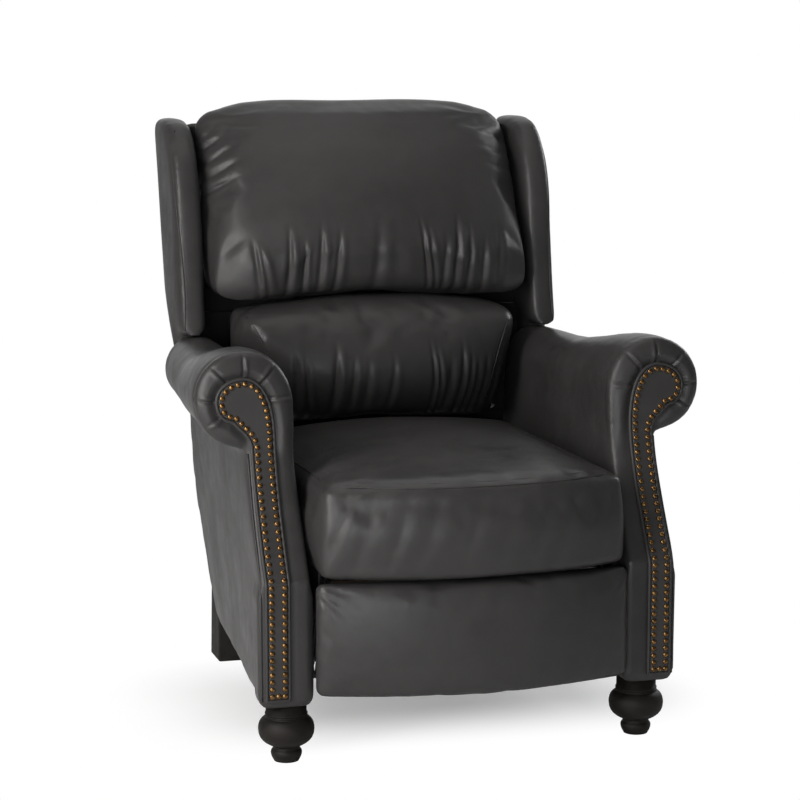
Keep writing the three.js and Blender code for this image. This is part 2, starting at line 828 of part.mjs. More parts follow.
const railFaceBack = stileFront - fit;
const railFaceFront = railFaceBack - backRailThickness;
const backRails = {
  back_lower_rail: { length: backRailLow, half: stileOuter },
  back_wing_rail: { length: upBack(wingBottom) + 3 * softGap, half: panelWide },
  back_top_rail: { length: stileTopLength - backRailHeight, half: panelWide },
};
for (const [name, rail] of Object.entries(backRails)) {
  const low = new THREE.Vector3(-rail.half, railFaceFront, rail.length);
  const high = new THREE.Vector3(rail.half, railFaceBack, rail.length + backRailHeight);
  add(backFrame, name, timber(low, high), frameWood);
}

// Side view of a wing: its front rounds over at the top, and its tail reaches down behind the arm.
function wing() {
  const rear = (z) => backFoot + (z - backFootHeight) * Math.tan(lean) + wingRearStand;
  const rise = wingShoulder - wingBottom;
  const crown = backTop - wingShoulder;
  const run = wingFrontTop - wingFrontBottom;
  const tailFront = armBack(wingTail) + softGap;
  const tailRear = tailFront + 2 * wingTailRound;
  const outline = new THREE.Shape();
  outline.moveTo(wingFrontBottom, wingBottom);
  outline.bezierCurveTo(
    wingFrontBottom + run * wingBow, wingBottom + rise * wingLowPull,
    wingFrontTop - run * wingLowPull, wingShoulder - rise * wingLowPull,
    wingFrontTop, wingShoulder,
  );
  outline.bezierCurveTo(
    wingFrontTop + wingRound * wingShoulderPull, wingShoulder + crown * wingHighPull,
    wingFrontTop + wingRound * wingTopPull, backTop,
    wingFrontTop + wingRound, backTop,
  );
  outline.lineTo(rear(backTop) - wingRearCorner, backTop);
  outline.quadraticCurveTo(rear(backTop), backTop, rear(backTop - wingRearCorner), backTop - wingRearCorner);
  outline.lineTo(rear(wingTailTop), wingTailTop);
  outline.quadraticCurveTo(
    rear(wingTailTop) - 2 * wingTailRound, mix(wingTail, wingTailTop, wingTailPull),
    tailRear, wingTail + wingTailRound,
  );
  outline.quadraticCurveTo(tailRear, wingTail, tailFront + wingTailRound, wingTail);
  outline.quadraticCurveTo(tailFront, wingTail, tailFront, wingTail + wingTailRound);
  outline.lineTo(tailFront, wingBottom);
  outline.closePath();
  const depth = wingOuter - wingInner - 2 * wingEdge;
  const pad = new THREE.ExtrudeGeometry(outline, {
    depth,
    curveSegments: 5,
    bevelThickness: wingEdge,
    bevelSize: wingEdge,
    bevelOffset: -wingEdge,
    bevelSegments: 3,
  });
  return pad.applyMatrix4(drawnFromTheSide).translate(wingInner + wingEdge, 0, 0);
}

addPair("wing", wing(), leather);

// A value that follows a list of pairs: a share of the height, and the value there.
function profileAt(pairs, up) {
  const above = pairs.findIndex((pair) => pair[0] > up);
  const next = above < 0 ? pairs.length - 1 : Math.max(1, above);
  const [low, high] = [pairs[next - 1], pairs[next]];
  return mix(low[1], high[1], clamp((up - low[0]) / (high[0] - low[0]), 0, 1));
}

// Sweep of each cushion's front at its sides, by the share of its height.
const lumbarSweepShares = [[0, 1], [0.23, 0.7], [0.51, 0.23], [0.74, 0], [0.88, 0.15], [1, 0.58]];
const headSweepShares = [[0, 0], [0.13, 0.05], [0.27, 0.2], [0.47, 0.38], [0.72, 0.62], [0.88, 0.82], [1, 1]];

// A cushion of the back: its rear lies on the frame, and its front is swept and bulges in the middle.
function backCushion(size) {
  const half = new THREE.Vector3(size.half, size.depth / 2, (size.top - size.bottom) / 2);
  return padded(half, size.edge, size.cells, (point) => {
    const up = (point.z + half.z) / (2 * half.z);
    const across = 1 - (point.x / half.x) ** 2;
    const drop = size.topDrop * Math.abs(point.x / half.x) ** size.topPower;
    const arch = mix(size.bottomArch * across, -drop, up);
    const z = mix(size.bottom, size.top, up) + arch;
    const bulge = backBulge * across * Math.sin(Math.PI * mix(0.15, 0.9, up));
    const front = size.front + size.sweep * profileAt(size.sweepShares, up) - bulge;
    return new THREE.Vector3(point.x, mix(front, frameFront(z, fit), (point.y + half.y) / (2 * half.y)), z);
  });
}

const lumbarCushion = backCushion({
  half: lumbarHalf, bottom: lumbarBottom, top: lumbarTop, depth: lumbarDepth, edge: lumbarEdge,
  front: lumbarFront, sweep: lumbarSweep, sweepShares: lumbarSweepShares,
  topDrop: seamArch, topPower: 2, bottomArch: softGap, cells: [8, 2, 6],
});
add(chair, "lumbar_cushion", lumbarCushion, leather);

const headCushion = backCushion({
  half: headHalf, bottom: headBottom, top: headTop, depth: headDepth, edge: headEdge,
  front: headFrontLine, sweep: headSweep, sweepShares: headSweepShares,
  topDrop: headDrop, topPower: headDropPower, bottomArch: seamArch, cells: [10, 3, 9],
});
add(chair, "head_cushion", headCushion, leather);

// Seat frame

const flangeTop = seatBottom - 2 * fit;
const seatRailTop = flangeTop - steel - fit;
const seatRailBottom = seatRailTop - seatRailHeight;
const seatRailOuter = layerFace(3) - steel - rivetHeadThickness - overrun;
const seatRailInner = seatRailOuter - seatRailWidth;
const seatRailLow = new THREE.Vector3(seatRailInner, seatRailFront, seatRailBottom);
const seatRailHigh = new THREE.Vector3(seatRailOuter, seatRailRear, seatRailTop);
addPair("seat_side_rail", timber(seatRailLow, seatRailHigh), frameWood);

const crossHalf = seatRailInner - fit;
const crossRailEnds = { seat_front_rail: seatRailFront, seat_rear_rail: seatRailRear - seatRailWidth };
for (const [name, y] of Object.entries(crossRailEnds)) {
  const low = new THREE.Vector3(-crossHalf, y, seatRailBottom);
  const high = new THREE.Vector3(crossHalf, y + seatRailWidth, seatRailTop);
  add(chair, name, timber(low, high), frameWood);
}

// Sinuous springs run from the front rail to the rear rail in flat waves.
function spring() {
  const start = seatRailFront + seatRailWidth + fit;
  const end = seatRailRear - seatRailWidth - fit;
  const points = [];
  const steps = springWaves * springStepsPerWave;
  for (let i = 0; i <= steps; i += 1) {
    const share = i / steps;
    const taper = Math.min(1, springTaper * Math.min(share, 1 - share)) ** 2;
    const x = springSwing * taper * Math.sin(2 * Math.PI * springWaves * share);
    points.push(new THREE.Vector3(x, mix(start, end, share), seatRailTop - springSink));
  }
  return cord(points, springWire, 2);
}

for (let i = 0; i < springCount; i += 1) {
  const x = mix(-springSpread, springSpread, i / (springCount - 1));
  add(chair, `seat_spring_${i + 1}`, spring().translate(x, 0, 0), springSteel);
}

// Steel plates and links, drawn in (Y, Z) and stacked in layers across the chair

function from(point, y, z) {
  return new THREE.Vector2(point.x + y, point.y + z);
}

const mainPivot = new THREE.Vector2(mainPivotY, flangeTop - mainPivotDrop);
const guidePivot = from(mainPivot, guideSetback, -guideDrop);
const mainJoint = from(mainPivot, mainRun, -mainFall);
const boardPivot = from(mainJoint, -boardRun, boardRise);
const guideJoint = from(mainJoint, tailRun, -tailFall);
const tieJoint = from(mainJoint, -tieRun, -tieFall);
const tiePivot = from(boardPivot, -leverRun, -leverFall);

function plate(outline, layer) {
  const sheet = new THREE.ExtrudeGeometry(outline, { depth: steel, bevelEnabled: false, curveSegments: 3 });
  return sheet.applyMatrix4(drawnFromTheSide).translate(layerFace(layer) - steel, 0, 0);
}

// A strap with round ends from one point to another.
function strap(from, to, half) {
  const angle = Math.atan2(to.y - from.y, to.x - from.x);
  const outline = new THREE.Shape();
  outline.absarc(to.x, to.y, half, angle - Math.PI / 2, angle + Math.PI / 2);
  outline.absarc(from.x, from.y, half, angle + Math.PI / 2, angle + 1.5 * Math.PI);
  outline.closePath();
  return outline;
}

// A round pin across the chair, between two places on X.
function roundBar(at, radius, low, high, facets) {
  const bar = new THREE.CylinderGeometry(radius, radius, high - low, facets);
  return bar.rotateZ(Math.PI / 2).translate((low + high) / 2, at.x, at.y);
}

function hole(at, radius, layer) {
  return roundBar(at, radius, layerFace(layer) - steel - overrun, layerFace(layer) + overrun, pinFacets);
}

// A rivet fixed in one layer, with a shoulder, a shank through an inner layer, and a head behind that.
function rivet(at, fixedLayer, throughLayer, radius, head) {
  const root = layerFace(fixedLayer) - steel + overrun;
  const seat = layerFace(throughLayer) + fit;
  const behind = layerFace(throughLayer) - steel - fit;
  const shoulder = roundBar(at, Math.min(head, rivetShoulder + radius - rivetRadius), seat, root, pinFacets);
  const shank = roundBar(at, radius, behind - overrun, root, pinFacets);
  const cap = roundBar(at, head, behind - rivetHeadThickness, behind, pinFacets);
  return joined(shoulder, shank, cap);
}

// A stud fixed in the seat plate that slides in the base plate's slot, with its head outside that.
function slidingStud(at) {
  const root = layerFace(0) - overrun;
  const beyond = layerFace(-1) + fit;
  const shoulder = roundBar(at, slotHalf + rivetHeadThickness, root, layerFace(-1) - steel - fit, pinFacets);
  const shank = roundBar(at, studRadius, root, beyond + overrun, pinFacets);
  const cap = roundBar(at, slotHalf + 2 * rivetHeadThickness, beyond, beyond + rivetHeadThickness, pinFacets);
  return joined(shoulder, shank, cap);
}

const backPivot = new THREE.Vector2(pivotY, pivotZ);
const crankPin = new THREE.Vector2(pivotY + glide / 2, pivotZ - crankDrop);
const crankMiddle = new THREE.Vector2(pivotY, pivotZ - crankDrop);
const studs = [frontStudY, rearStudY].map((y) => new THREE.Vector2(y, flangeTop - studDrop));

function basePlate() {
  const outline = new THREE.Shape();
  const [towerFront, towerRear] = [pivotY - towerHalf, pivotY + towerHalf];
  outline.moveTo(basePlateFront, basePlateBottom);
  outline.lineTo(basePlateRear, basePlateBottom);
  outline.lineTo(basePlateRear, basePlateTop - basePlateCorner);
  outline.quadraticCurveTo(basePlateRear, basePlateTop, basePlateRear - basePlateCorner, basePlateTop);
  outline.lineTo(towerRear + basePlateCorner, basePlateTop);
  outline.quadraticCurveTo(towerRear, basePlateTop, towerRear, basePlateTop + basePlateCorner);
  outline.lineTo(towerRear, pivotZ);
  outline.absarc(pivotY, pivotZ, towerHalf, 0, Math.PI);
  outline.lineTo(towerFront, basePlateTop + basePlateCorner);
  outline.quadraticCurveTo(towerFront, basePlateTop, towerFront - basePlateCorner, basePlateTop);
  outline.lineTo(basePlateFront + basePlateCorner, basePlateTop);
  outline.quadraticCurveTo(basePlateFront, basePlateTop, basePlateFront, basePlateTop - basePlateCorner);
  outline.closePath();
  for (const stud of studs) outline.holes.push(strap(from(stud, -glide, 0), stud, slotHalf));
  return joined(plate(outline, -1), rivet(backPivot, -1, 1, pivotRadius, pivotHead));
}

addPair("base_plate", basePlate(), linkSteel);

function seatPlate() {
  const outline = new THREE.Shape();
  const low = flangeTop - seatPlateDrop;
  const armLow = crankPin.y - openEye;
  const armHigh = crankPin.y + openEye;
  outline.moveTo(seatPlateFront, flangeTop);
  outline.lineTo(seatPlateFront, guidePivot.y - linkHalf);
  outline.lineTo(frontStudY - basePlateCorner, low);
  outline.lineTo(rearStudY + basePlateCorner, low);
  outline.lineTo(seatRailRear, armLow);
  outline.lineTo(crankPin.x, armLow);
  outline.absarc(crankPin.x, crankPin.y, openEye, -Math.PI / 2, Math.PI / 2);
  outline.lineTo(seatRailRear + basePlateCorner, armHigh);
  outline.lineTo(seatRailRear, flangeTop);
  outline.closePath();
  const flangeLow = new THREE.Vector3(seatRailInner + flangeCorner, seatRailFront, flangeTop - steel);
  const flangeHigh = new THREE.Vector3(layerFace(0) - fit, seatRailRear, flangeTop);
  const size = new THREE.Vector3().subVectors(flangeHigh, flangeLow);
  const flange = new THREE.BoxGeometry(size.x, size.y, size.z);
  flange.translate(...new THREE.Vector3().addVectors(flangeLow, flangeHigh).divideScalar(2));
  return joined(
    plate(outline, 0),
    flange,
    rivet(mainPivot, 0, 1, rivetRadius, rivetHead),
    rivet(guidePivot, 0, 1, rivetRadius, rivetHead),
    rivet(crankPin, 0, 1, rivetRadius, rivetHead),
    ...studs.map(slidingStud),
  );
}

addPair("seat_plate", seatPlate(), linkSteel);

// The back bracket turns on the stud and is bolted along the stile.
// Its crank has a slot for the seat plate's pin.
function backBracket() {
  const along = (length) => {
    const out = stileThickness / 2 + fit + backPanelThickness;
    return new THREE.Vector2(
      backFoot + length * Math.sin(lean) - out * Math.cos(lean),
      backFootHeight + length * Math.cos(lean) + out * Math.sin(lean),
    );
  };
  const low = along(bracketLow);
  const high = along(bracketHigh);
  const straps = [
    [backPivot, crankPin, openEye],
    [backPivot, low, bracketHalf],
    [low, high, bracketHalf],
    [crankPin, low, bracketWaist],
  ];
  const whole = straps.map(([from, to, half]) => plate(strap(from, to, half), 1));
  const down = crankPin.clone().sub(backPivot).normalize();
  const near = crankMiddle.distanceTo(backPivot);
  const far = crankPin.distanceTo(backPivot);
  const slotStart = backPivot.clone().addScaledVector(down, near);
  const slotEnd = backPivot.clone().addScaledVector(down, far);
  const slot = plate(strap(slotStart, slotEnd, rivetRadius + fit + crankHole), 1).translate(steel / 2, 0, 0);
  const deeper = slot.clone().translate(-steel, 0, 0);
  return cut(joined(...whole), hole(backPivot, pivotRadius + fit, 1), slot, deeper);
}

addPair("back_bracket", backBracket(), linkSteel);

function link(points, layer, holes, rivets) {
  const straps = points.slice(1).map((point, i) => plate(strap(points[i], point, linkHalf), layer));
  const body = straps.length > 1 ? joined(...straps) : straps[0];
  const drilled = cut(body, ...holes.map(([at, radius]) => hole(at, radius, layer)));
  return rivets.length ? joined(drilled, ...rivets) : drilled;
}

const running = rivetRadius + fit;
const mainLink = link(
  [mainPivot, mainJoint, tieJoint],
  1,
  [[mainPivot, running]],
  [rivet(mainJoint, 1, 2, rivetRadius, rivetHead), rivet(tieJoint, 1, 2, rivetRadius, rivetHead)],
);
addPair("main_link", mainLink, linkSteel);

const boardRivet = rivet(boardPivot, 2, 3, rivetRadius, rivetHead);
const frontLinkBody = joined(
  link([boardPivot, mainJoint, guideJoint], 2, [[mainJoint, running]], [boardRivet]),
  plate(strap(guideJoint, from(guideJoint, fit, 0), openEye), 2),
);
addPair("front_link", cut(frontLinkBody, hole(guideJoint, openHole, 2)), linkSteel);

// The guide link carries an eye for the cross tube on the side away from the main link.
const guideAlong = guideJoint.clone().sub(guidePivot);
const guideAway = new THREE.Vector2(-guideAlong.y, guideAlong.x).normalize();
const guideFoot = guidePivot.clone().addScaledVector(guideAlong, tubeAlongShare);
const tubeAt = guideFoot.clone().addScaledVector(guideAway, tubeOffset);
const guideLink = link(
  [guidePivot, guideJoint],
  1,
  [[guidePivot, running]],
  [rivet(guideJoint, 1, 2, rivetRadius, openHead), plate(strap(guideFoot, tubeAt, tubeEye), 1)],
);
addPair("guide_link", guideLink, linkSteel);

const tubeHalf = layerFace(1) - steel - fit;
const tube = cut(
  roundBar(tubeAt, tubeRadius, -tubeHalf, tubeHalf, tubeFacets),
  roundBar(tubeAt, tubeRadius - tubeWall, -tubeHalf - overrun, tubeHalf + overrun, tubeFacets),
);
add(chair, "cross_tube", tube, linkSteel);

const tieRivet = rivet(tiePivot, 2, 3, rivetRadius, rivetHead);
addPair("tie_link", link([tieJoint, tiePivot], 2, [[tieJoint, running]], [tieRivet]), linkSteel);

// Footrest board and its brackets

const boardBack = padRear + fit + boardThickness;
const boardHalf = padHalf - boardMargin;
const boardLow = new THREE.Vector3(-boardHalf, padRear + fit, padBottom + boardMargin);
const boardHigh = new THREE.Vector3(boardHalf, boardBack, padTop - boardMargin);
add(chair, "footrest_board", timber(boardLow, boardHigh), frameWood);

function footrestBracket() {
  const flangeY = boardBack + fit;
  const web = new THREE.Shape();
  web.moveTo(flangeY, bracketFoot);
  web.lineTo(flangeY + bracketToe, bracketFoot);
  web.lineTo(tiePivot.x + linkHalf, tiePivot.y - linkHalf);
  web.lineTo(tiePivot.x, boardPivot.y);
  web.lineTo(flangeY, boardPivot.y);
  web.closePath();
  const tab = new THREE.BoxGeometry(flangeWidth, steel, boardPivot.y - bracketFoot);
  tab.translate(layerFace(3) - flangeWidth / 2, flangeY + steel / 2, (boardPivot.y + bracketFoot) / 2);
  const eyes = joined(plate(web, 3), plate(strap(tiePivot, boardPivot, linkHalf), 3), tab);
  return cut(eyes, hole(boardPivot, running, 3), hole(tiePivot, running + 2 * fit, 3));
}

addPair("footrest_bracket", footrestBracket(), linkSteel);

// The origin is on the floor under the middle of the chair.
const extent = new THREE.Box3().setFromObject(chair);
chair.position.y = -(extent.min.y + extent.max.y) / 2;

export default chair;
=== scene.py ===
# A push-back wing recliner in dark leather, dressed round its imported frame.
# Metres. X runs across the chair, Y towards its back, and Z is up from the floor.

import math

import bmesh
import bpy
import numpy as np
from mathutils import Matrix, Vector
from mathutils.bvhtree import BVHTree
from mathutils.geometry import interpolate_bezier


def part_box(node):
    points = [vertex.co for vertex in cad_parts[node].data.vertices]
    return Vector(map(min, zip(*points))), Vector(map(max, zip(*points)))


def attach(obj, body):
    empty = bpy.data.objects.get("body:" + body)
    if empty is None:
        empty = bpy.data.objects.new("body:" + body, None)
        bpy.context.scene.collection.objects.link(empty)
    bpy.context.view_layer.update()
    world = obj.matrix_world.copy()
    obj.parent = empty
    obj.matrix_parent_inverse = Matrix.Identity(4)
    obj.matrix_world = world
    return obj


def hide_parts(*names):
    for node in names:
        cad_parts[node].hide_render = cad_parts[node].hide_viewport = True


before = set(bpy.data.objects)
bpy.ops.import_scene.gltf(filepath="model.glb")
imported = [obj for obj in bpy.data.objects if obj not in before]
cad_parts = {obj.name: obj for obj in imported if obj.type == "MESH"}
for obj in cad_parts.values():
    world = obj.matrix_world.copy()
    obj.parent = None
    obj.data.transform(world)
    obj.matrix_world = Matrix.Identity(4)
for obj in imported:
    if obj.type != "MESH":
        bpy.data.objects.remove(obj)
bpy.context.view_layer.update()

MILLIMETRE = 0.001
WELD = 1e-5
SIDES = (("right", 1.0), ("left", -1.0))

# The photograph's camera
CAMERA_PLACE = (-1.1796, -4.1305, 1.1497)
CAMERA_TILT = 81.7241
CAMERA_TURN = -15.7924
CAMERA_LENS = 111.82
CAMERA_SENSOR = 36.0

# Nail line of an arm, in (X, Z)
NAIL_OUTER = 0.333
NAIL_INNER = 0.312
NAIL_BOTTOM = 0.118
NAIL_TOP = 0.605
NAIL_NECK = 0.500
NAIL_HEAD_OUTER = 0.389
NAIL_HEAD_INNER = 0.318
NAIL_CHEEK = 0.028
NAIL_PITCH = 0.0117
NAIL_RADIUS = 0.0047
NAIL_RISE = 0.0031

# The facing and its welt
FACING_MARGIN = 0.005
WELT_RADIUS = 0.003
WELT_GAP = 0.0014

# The scroll at the front of an arm, in (X, Z)
SCROLL = Vector((0.350, 0.577))
PLEAT_ANGLES = (-34.0, 3.0, 44.0, 90.0, 131.0, 178.0)
PLEAT_REACH = 0.034
PLEAT_END = 0.074
PLEAT_RUN = 0.016
PLEAT_NEAR = 0.007

# Front of an arm
POST_FRONT = -0.3893
HEAD_FRONT = -0.2913
KNEE = 0.300
NECK = 0.515
LEAN_POWER = 1.43
HEAD_RAKE = 0.052

# Fineness of the covers
CUSHION_VOXEL = 0.0080
PAD_VOXEL = 0.0070
ARM_VOXEL = 0.0068
WING_VOXEL = 0.0060

# How often each cover is evened out
RELAX_STEP = 0.5
BACK_BOW = 0.030
HEAD_ROUNDS = 6
HEAD_DROP = 0.009
HEAD_DROP_TOP = 0.770
HEAD_DROP_REAR = 0.240
HEAD_DROP_RUN = 0.040
HEAD_FLANK = 0.078
HEAD_FLANK_DEPTH = 0.030
HEAD_FLANK_POWER = 1.4
FLANK_ROUNDS = 4
HEAD_SOFT = 0.80
PROFILE_STEPS = 20
PROFILE_HALF = 0.05
GUSSET_SLOPE = 1.2
HEAD_TOP = 0.10
HEAD_PLUMP = 0.014
HEAD_FINE = 0.85
HEAD_FINE_SIDE = 0.19
LUMBAR_ROUNDS = 3
LUMBAR_FINE = 0.63
LUMBAR_BELLY = 0.024
LUMBAR_BELLY_HALF = 0.245
LUMBAR_BELLY_HEIGHT = 0.548
LUMBAR_BELLY_SPREAD = 0.055
SEAT_ROUNDS = 1
SEAT_CROWN = 0.015
SEAT_CROWN_BACK = 0.115
SEAT_CROWN_FRONT = -0.380
SEAT_SAG = 0.004
SEAT_SAG_FRONT = -0.36
SEAT_SAG_HIGH = 0.36
FOOTREST_RISE = 0.004
FOOTREST_SPREAD = 0.0025
FOOTREST_ROUNDS = 1
FOOTREST_DROP = 0.004
ARM_ROUNDS = 8
POST_SHARE = 0.12
POST_SOFT_LOW = 0.38
POST_SOFT_HIGH = 0.50
POST_FULL = 0.005
POST_FULL_TOP = 0.300
POST_FULL_REAR = -0.312
POST_FULL_RUN = 0.030
WING_ROUNDS = 20
HELD_DEPTH = 0.05
PLEAT_FINE_LOW = 0.47
BEND_STEPS = 14
OUTLINE_PITCH = 0.004
FACING_STRIP = 0.008
FACING_THICKNESS = 0.006
FACING_SOFT = 0.0022
WELT_SINK = 0.0002
WELT_STAND = 0.0028
NAIL_WOBBLE = 0.0002
STITCH_SHARE = 0.7

# Seams
SEAM_MARKS = 26
SEAM_THROW = 0.12
POST_EDGE = 0.352
POST_SEAM_LOW = 0.108
POST_SEAM_HIGH = 0.492
POST_SEAM_RADIUS = 0.0019
WING_OUTER = 0.348
WING_SEAM_LOW = 0.632
WING_SEAM_HIGH = 0.985
WING_SEAM_LINE = ((0.215, 0.60), (0.245, 0.78), (0.270, 0.88), (0.335, 1.00))
WING_SEAM_RADIUS = 0.0013
LUMBAR_SEAM_RADIUS = 0.0014
LUMBAR_SEAM_LINE = ((0.254, 0.676), (0.234, 0.640), (0.206, 0.596), (0.198, 0.500))
SEAT_SEAM_CENTRE = -0.16
SEAT_SEAM_HEIGHT = 0.450
SEAT_SEAM_TURN = 150.0
SEAT_SEAM_RADIUS = 0.0014
TOPSTITCH = 0.006
THREAD_RADIUS = 0.0005
STITCH_PITCH = 0.0045

# Near-black sheets behind and beside the lower back cushion: black fabric, made so dark that it also stands in for the
# shade in those gaps (painted shade)
BACK_LEAN = 0.2665
LINING_THICKNESS = 0.002
PULL_HALF = 0.262
PULL_LOW = 0.390
PULL_HIGH = 0.460
PULL_GAP = 0.003
SIDE_LINING_INNER = 0.238
SIDE_LINING_OUTER = 0.3140
SIDE_LINING_FRONT = 0.310
SIDE_LINING_LOW = 0.444
SIDE_LINING_HIGH = 0.655

# Turned front feet
FOOT_OFFSET = 0.300
FOOT_ROW = -0.3483
FOOT_COLLAR = 0.0330
FOOT_BENDS = (
    ((0.0200, 0.0), (0.0215, 0.0030), (0.0252, 0.0080), (0.0252, 0.0140)),
    ((0.0252, 0.0140), (0.0252, 0.0190), (0.0214, 0.0190), (0.0214, 0.0238)),
    ((0.0214, 0.0238), (0.0300, 0.0290), (0.0455, 0.0330), (0.0455, 0.0530)),
    ((0.0455, 0.0530), (0.0455, 0.0650), (0.0400, 0.0710), (0.0330, 0.0735)),
    ((0.0330, 0.0735), (0.0352, 0.0740), (0.0352, 0.0765), (0.0328, 0.0770)),
    ((0.0328, 0.0770), (0.0352, 0.0775), (0.0352, 0.0800), (0.0330, 0.0805)),
)
FOOT_TOP = 0.0997
FOOT_STEPS = 8
FOOT_SIDES = 48

# The padded band round a facing
BAND_START = 0.010
BAND_FULL = 0.024
BAND_FADE = 0.040
BAND_END = 0.066
BAND_PUFF_HEAD = 0.007
BAND_PUFF_POST = 0.0015
PLEAT_DEPTH = 0.0030
PLEAT_WIDTH = 0.0046

# Gathers above the lower seam of the upper back cushion: place, lean, top, depth, width
HEAD_LOW = 0.695
HEAD_GATHERS = (
    (-0.212, -0.12, 0.800, 0.0042, 0.008),
    (-0.196, -0.20, 0.790, 0.0036, 0.007),
    (-0.163, 0.04, 0.822, 0.0048, 0.008),
    (-0.136, 0.02, 0.800, 0.0034, 0.006),
    (-0.107, 0.05, 0.826, 0.0042, 0.008),
    (-0.078, 0.08, 0.818, 0.0034, 0.007),
    (0.000, 0.06, 0.838, 0.0030, 0.014),
    (0.098, -0.14, 0.836, 0.0040, 0.006),
    (0.112, -0.16, 0.822, 0.0036, 0.006),
    (0.126, 0.03, 0.806, 0.0034, 0.009),
    (0.148, 0.04, 0.838, 0.0046, 0.008),
    (0.173, 0.03, 0.822, 0.0034, 0.007),
    (0.203, 0.02, 0.800, 0.0034, 0.008),
    (0.234, 0.03, 0.826, 0.0022, 0.009),
)
HEAD_CREASES = (
    (-0.294, 0.968, 38.0, 0.050, 0.0018, 0.008),
    (-0.299, 0.946, 36.0, 0.080, 0.0026, 0.009),
    (-0.300, 0.922, 32.0, 0.090, 0.0028, 0.009),
    (-0.300, 0.898, 30.0, 0.095, 0.0026, 0.010),
    (-0.300, 0.872, 30.0, 0.080, 0.0026, 0.009),
    (0.290, 0.952, 160.0, 0.090, 0.0014, 0.008),
    (0.292, 0.926, 163.0, 0.100, 0.0016, 0.009),
    (0.292, 0.900, 167.0, 0.085, 0.0011, 0.009),
)

# Gathers above the lower seam of the lower back cushion
LUMBAR_LOW = 0.478
LUMBAR_GATHERS = (
    (-0.149, -0.12, 0.612, 0.0042, 0.009),
    (-0.130, -0.16, 0.596, 0.0034, 0.007),
    (-0.090, 0.00, 0.622, 0.0050, 0.009),
    (-0.062, 0.02, 0.600, 0.0032, 0.007),
    (-0.034, 0.00, 0.596, 0.0024, 0.009),
    (0.009, 0.02, 0.606, 0.0024, 0.008),
    (0.094, -0.10, 0.624, 0.0036, 0.006),
    (0.107, -0.12, 0.616, 0.0034, 0.006),
    (0.119, 0.02, 0.596, 0.0036, 0.010),
    (0.143, 0.00, 0.622, 0.0040, 0.007),
    (0.157, 0.02, 0.600, 0.0032, 0.006),
    (0.172, 0.02, 0.590, 0.0028, 0.007),
    (0.190, 0.02, 0.596, 0.0032, 0.007),
    (0.218, 0.00, 0.604, 0.0020, 0.008),
)

# Slanting folds of the seat cushion's front border: place, width, depth
SEAT_FOLD_LEAN = 0.30
SEAT_FOLD_MIDDLE = 0.375
SEAT_FOLDS = (
    (-0.226, 0.018, 0.0020),
    (-0.180, 0.021, 0.0017),
    (-0.131, 0.017, 0.0011),
    (-0.080, 0.024, 0.0009),
    (-0.014, 0.020, 0.0007),
    (0.047, 0.024, 0.0008),
    (0.104, 0.019, 0.0007),
    (0.152, 0.023, 0.0008),
    (0.208, 0.018, 0.0006),
)
FOOTREST_CREASES = (
    (-0.258, 0.288, -28.0, 0.050, 0.0016, 0.006),
    (-0.258, 0.280, -48.0, 0.055, 0.0016, 0.006),
    (-0.256, 0.294, -10.0, 0.070, 0.0012, 0.006),
    (0.256, 0.288, 208.0, 0.050, 0.0012, 0.006),
    (0.256, 0.282, 226.0, 0.045, 0.0012, 0.006),
)

# Colours, linear
LEATHER_DARK = (0.0285, 0.0273, 0.0269, 1.0)
LEATHER_PALE = (0.0360, 0.0344, 0.0339, 1.0)
LEATHER_ROUGHNESS = 0.40
LEATHER_SPECULAR = 0.34
TRIM_DARK = (0.0285, 0.0273, 0.0269, 1.0)
TRIM_PALE = (0.0360, 0.0344, 0.0339, 1.0)
# Painted shade: the near-black finish of the sheets and frame parts that stand in for the shade in the gaps round the
# cushions
SHADE_BLACK_DARK = (0.0080, 0.0078, 0.0077, 1.0)
SHADE_BLACK_PALE = (0.0120, 0.0116, 0.0114, 1.0)
TRIM_ROUGHNESS = 0.46
WOOD_SPECULAR = 0.22
THREAD_DARK = (0.030, 0.028, 0.027, 1.0)
THREAD_PALE = (0.050, 0.047, 0.045, 1.0)

# Studio
LIGHTS = (
    ("key_left", (-2.35, -1.5, 1.5), (0.0, -0.1, 0.75), (0.9, 2.7), 86.0, (1.0, 0.985, 0.97)),
    ("top_soft", (0.1, -0.3, 3.1), (0.0, 0.0, 0.5), (2.0, 1.6), 11.0, (1.0, 0.97, 0.94)),
    ("front_fill", (-1.7, -4.0, 0.55), (0.0, 0.0, 0.55), (1.8, 1.1), 42.0, (0.97, 0.98, 1.0)),
    ("rear_fill", (2.9, 1.6, 1.9), (0.0, 0.0, 0.5), (1.6, 1.6), 36.0, (0.98, 0.99, 1.0)),
)
WORLD_COLOUR = (1.0, 1.0, 1.0, 1.0)
WORLD_STRENGTH = 0.20
FLOOR_SIZE = 30.0
FLOOR_COLOUR = (0.86, 0.86, 0.86, 1.0)
FLOOR_LIFT = 0.30
FLOOR_SHADE = (0.27, 0.08, 0.0)
FLOOR_FADE = 0.27
BACKDROP_EDGE = 0.88
BACKDROP_FULL = 0.95


# The Mix node keeps its colour result behind those for numbers and vectors
MIXED_COLOUR = 2


# Small helpers for numbers

def smooth(value, low, high):
    """0 below low, 1 above high, and an even curve between them."""
    share = np.clip((value - low) / (high - low), 0.0, 1.0)
    return share * share * (3.0 - 2.0 * share)


def mixed_between(first, last, share):
    return first + (last - first) * share


def hump(value, middle, width):
    """A soft bump of height 1 about the middle."""
    return np.exp(-(((value - middle) / width) ** 2))


def ripple(x, y, z, seed, size):
    """A gentle, even unevenness between -1 and 1, the same on each run."""
    total = np.zeros_like(x)
    generator = np.random.default_rng(seed)
    for _ in range(5):
        direction = generator.normal(size=3)
        direction = direction / np.linalg.norm(direction) * (2 * math.pi / size)
        direction = direction * generator.uniform(0.6, 1.5)
        total = total + np.sin(direction[0] * x + direction[1] * y + direction[2] * z + generator.uniform(0, 6.3))
    return total / 3.2


# Mesh helpers

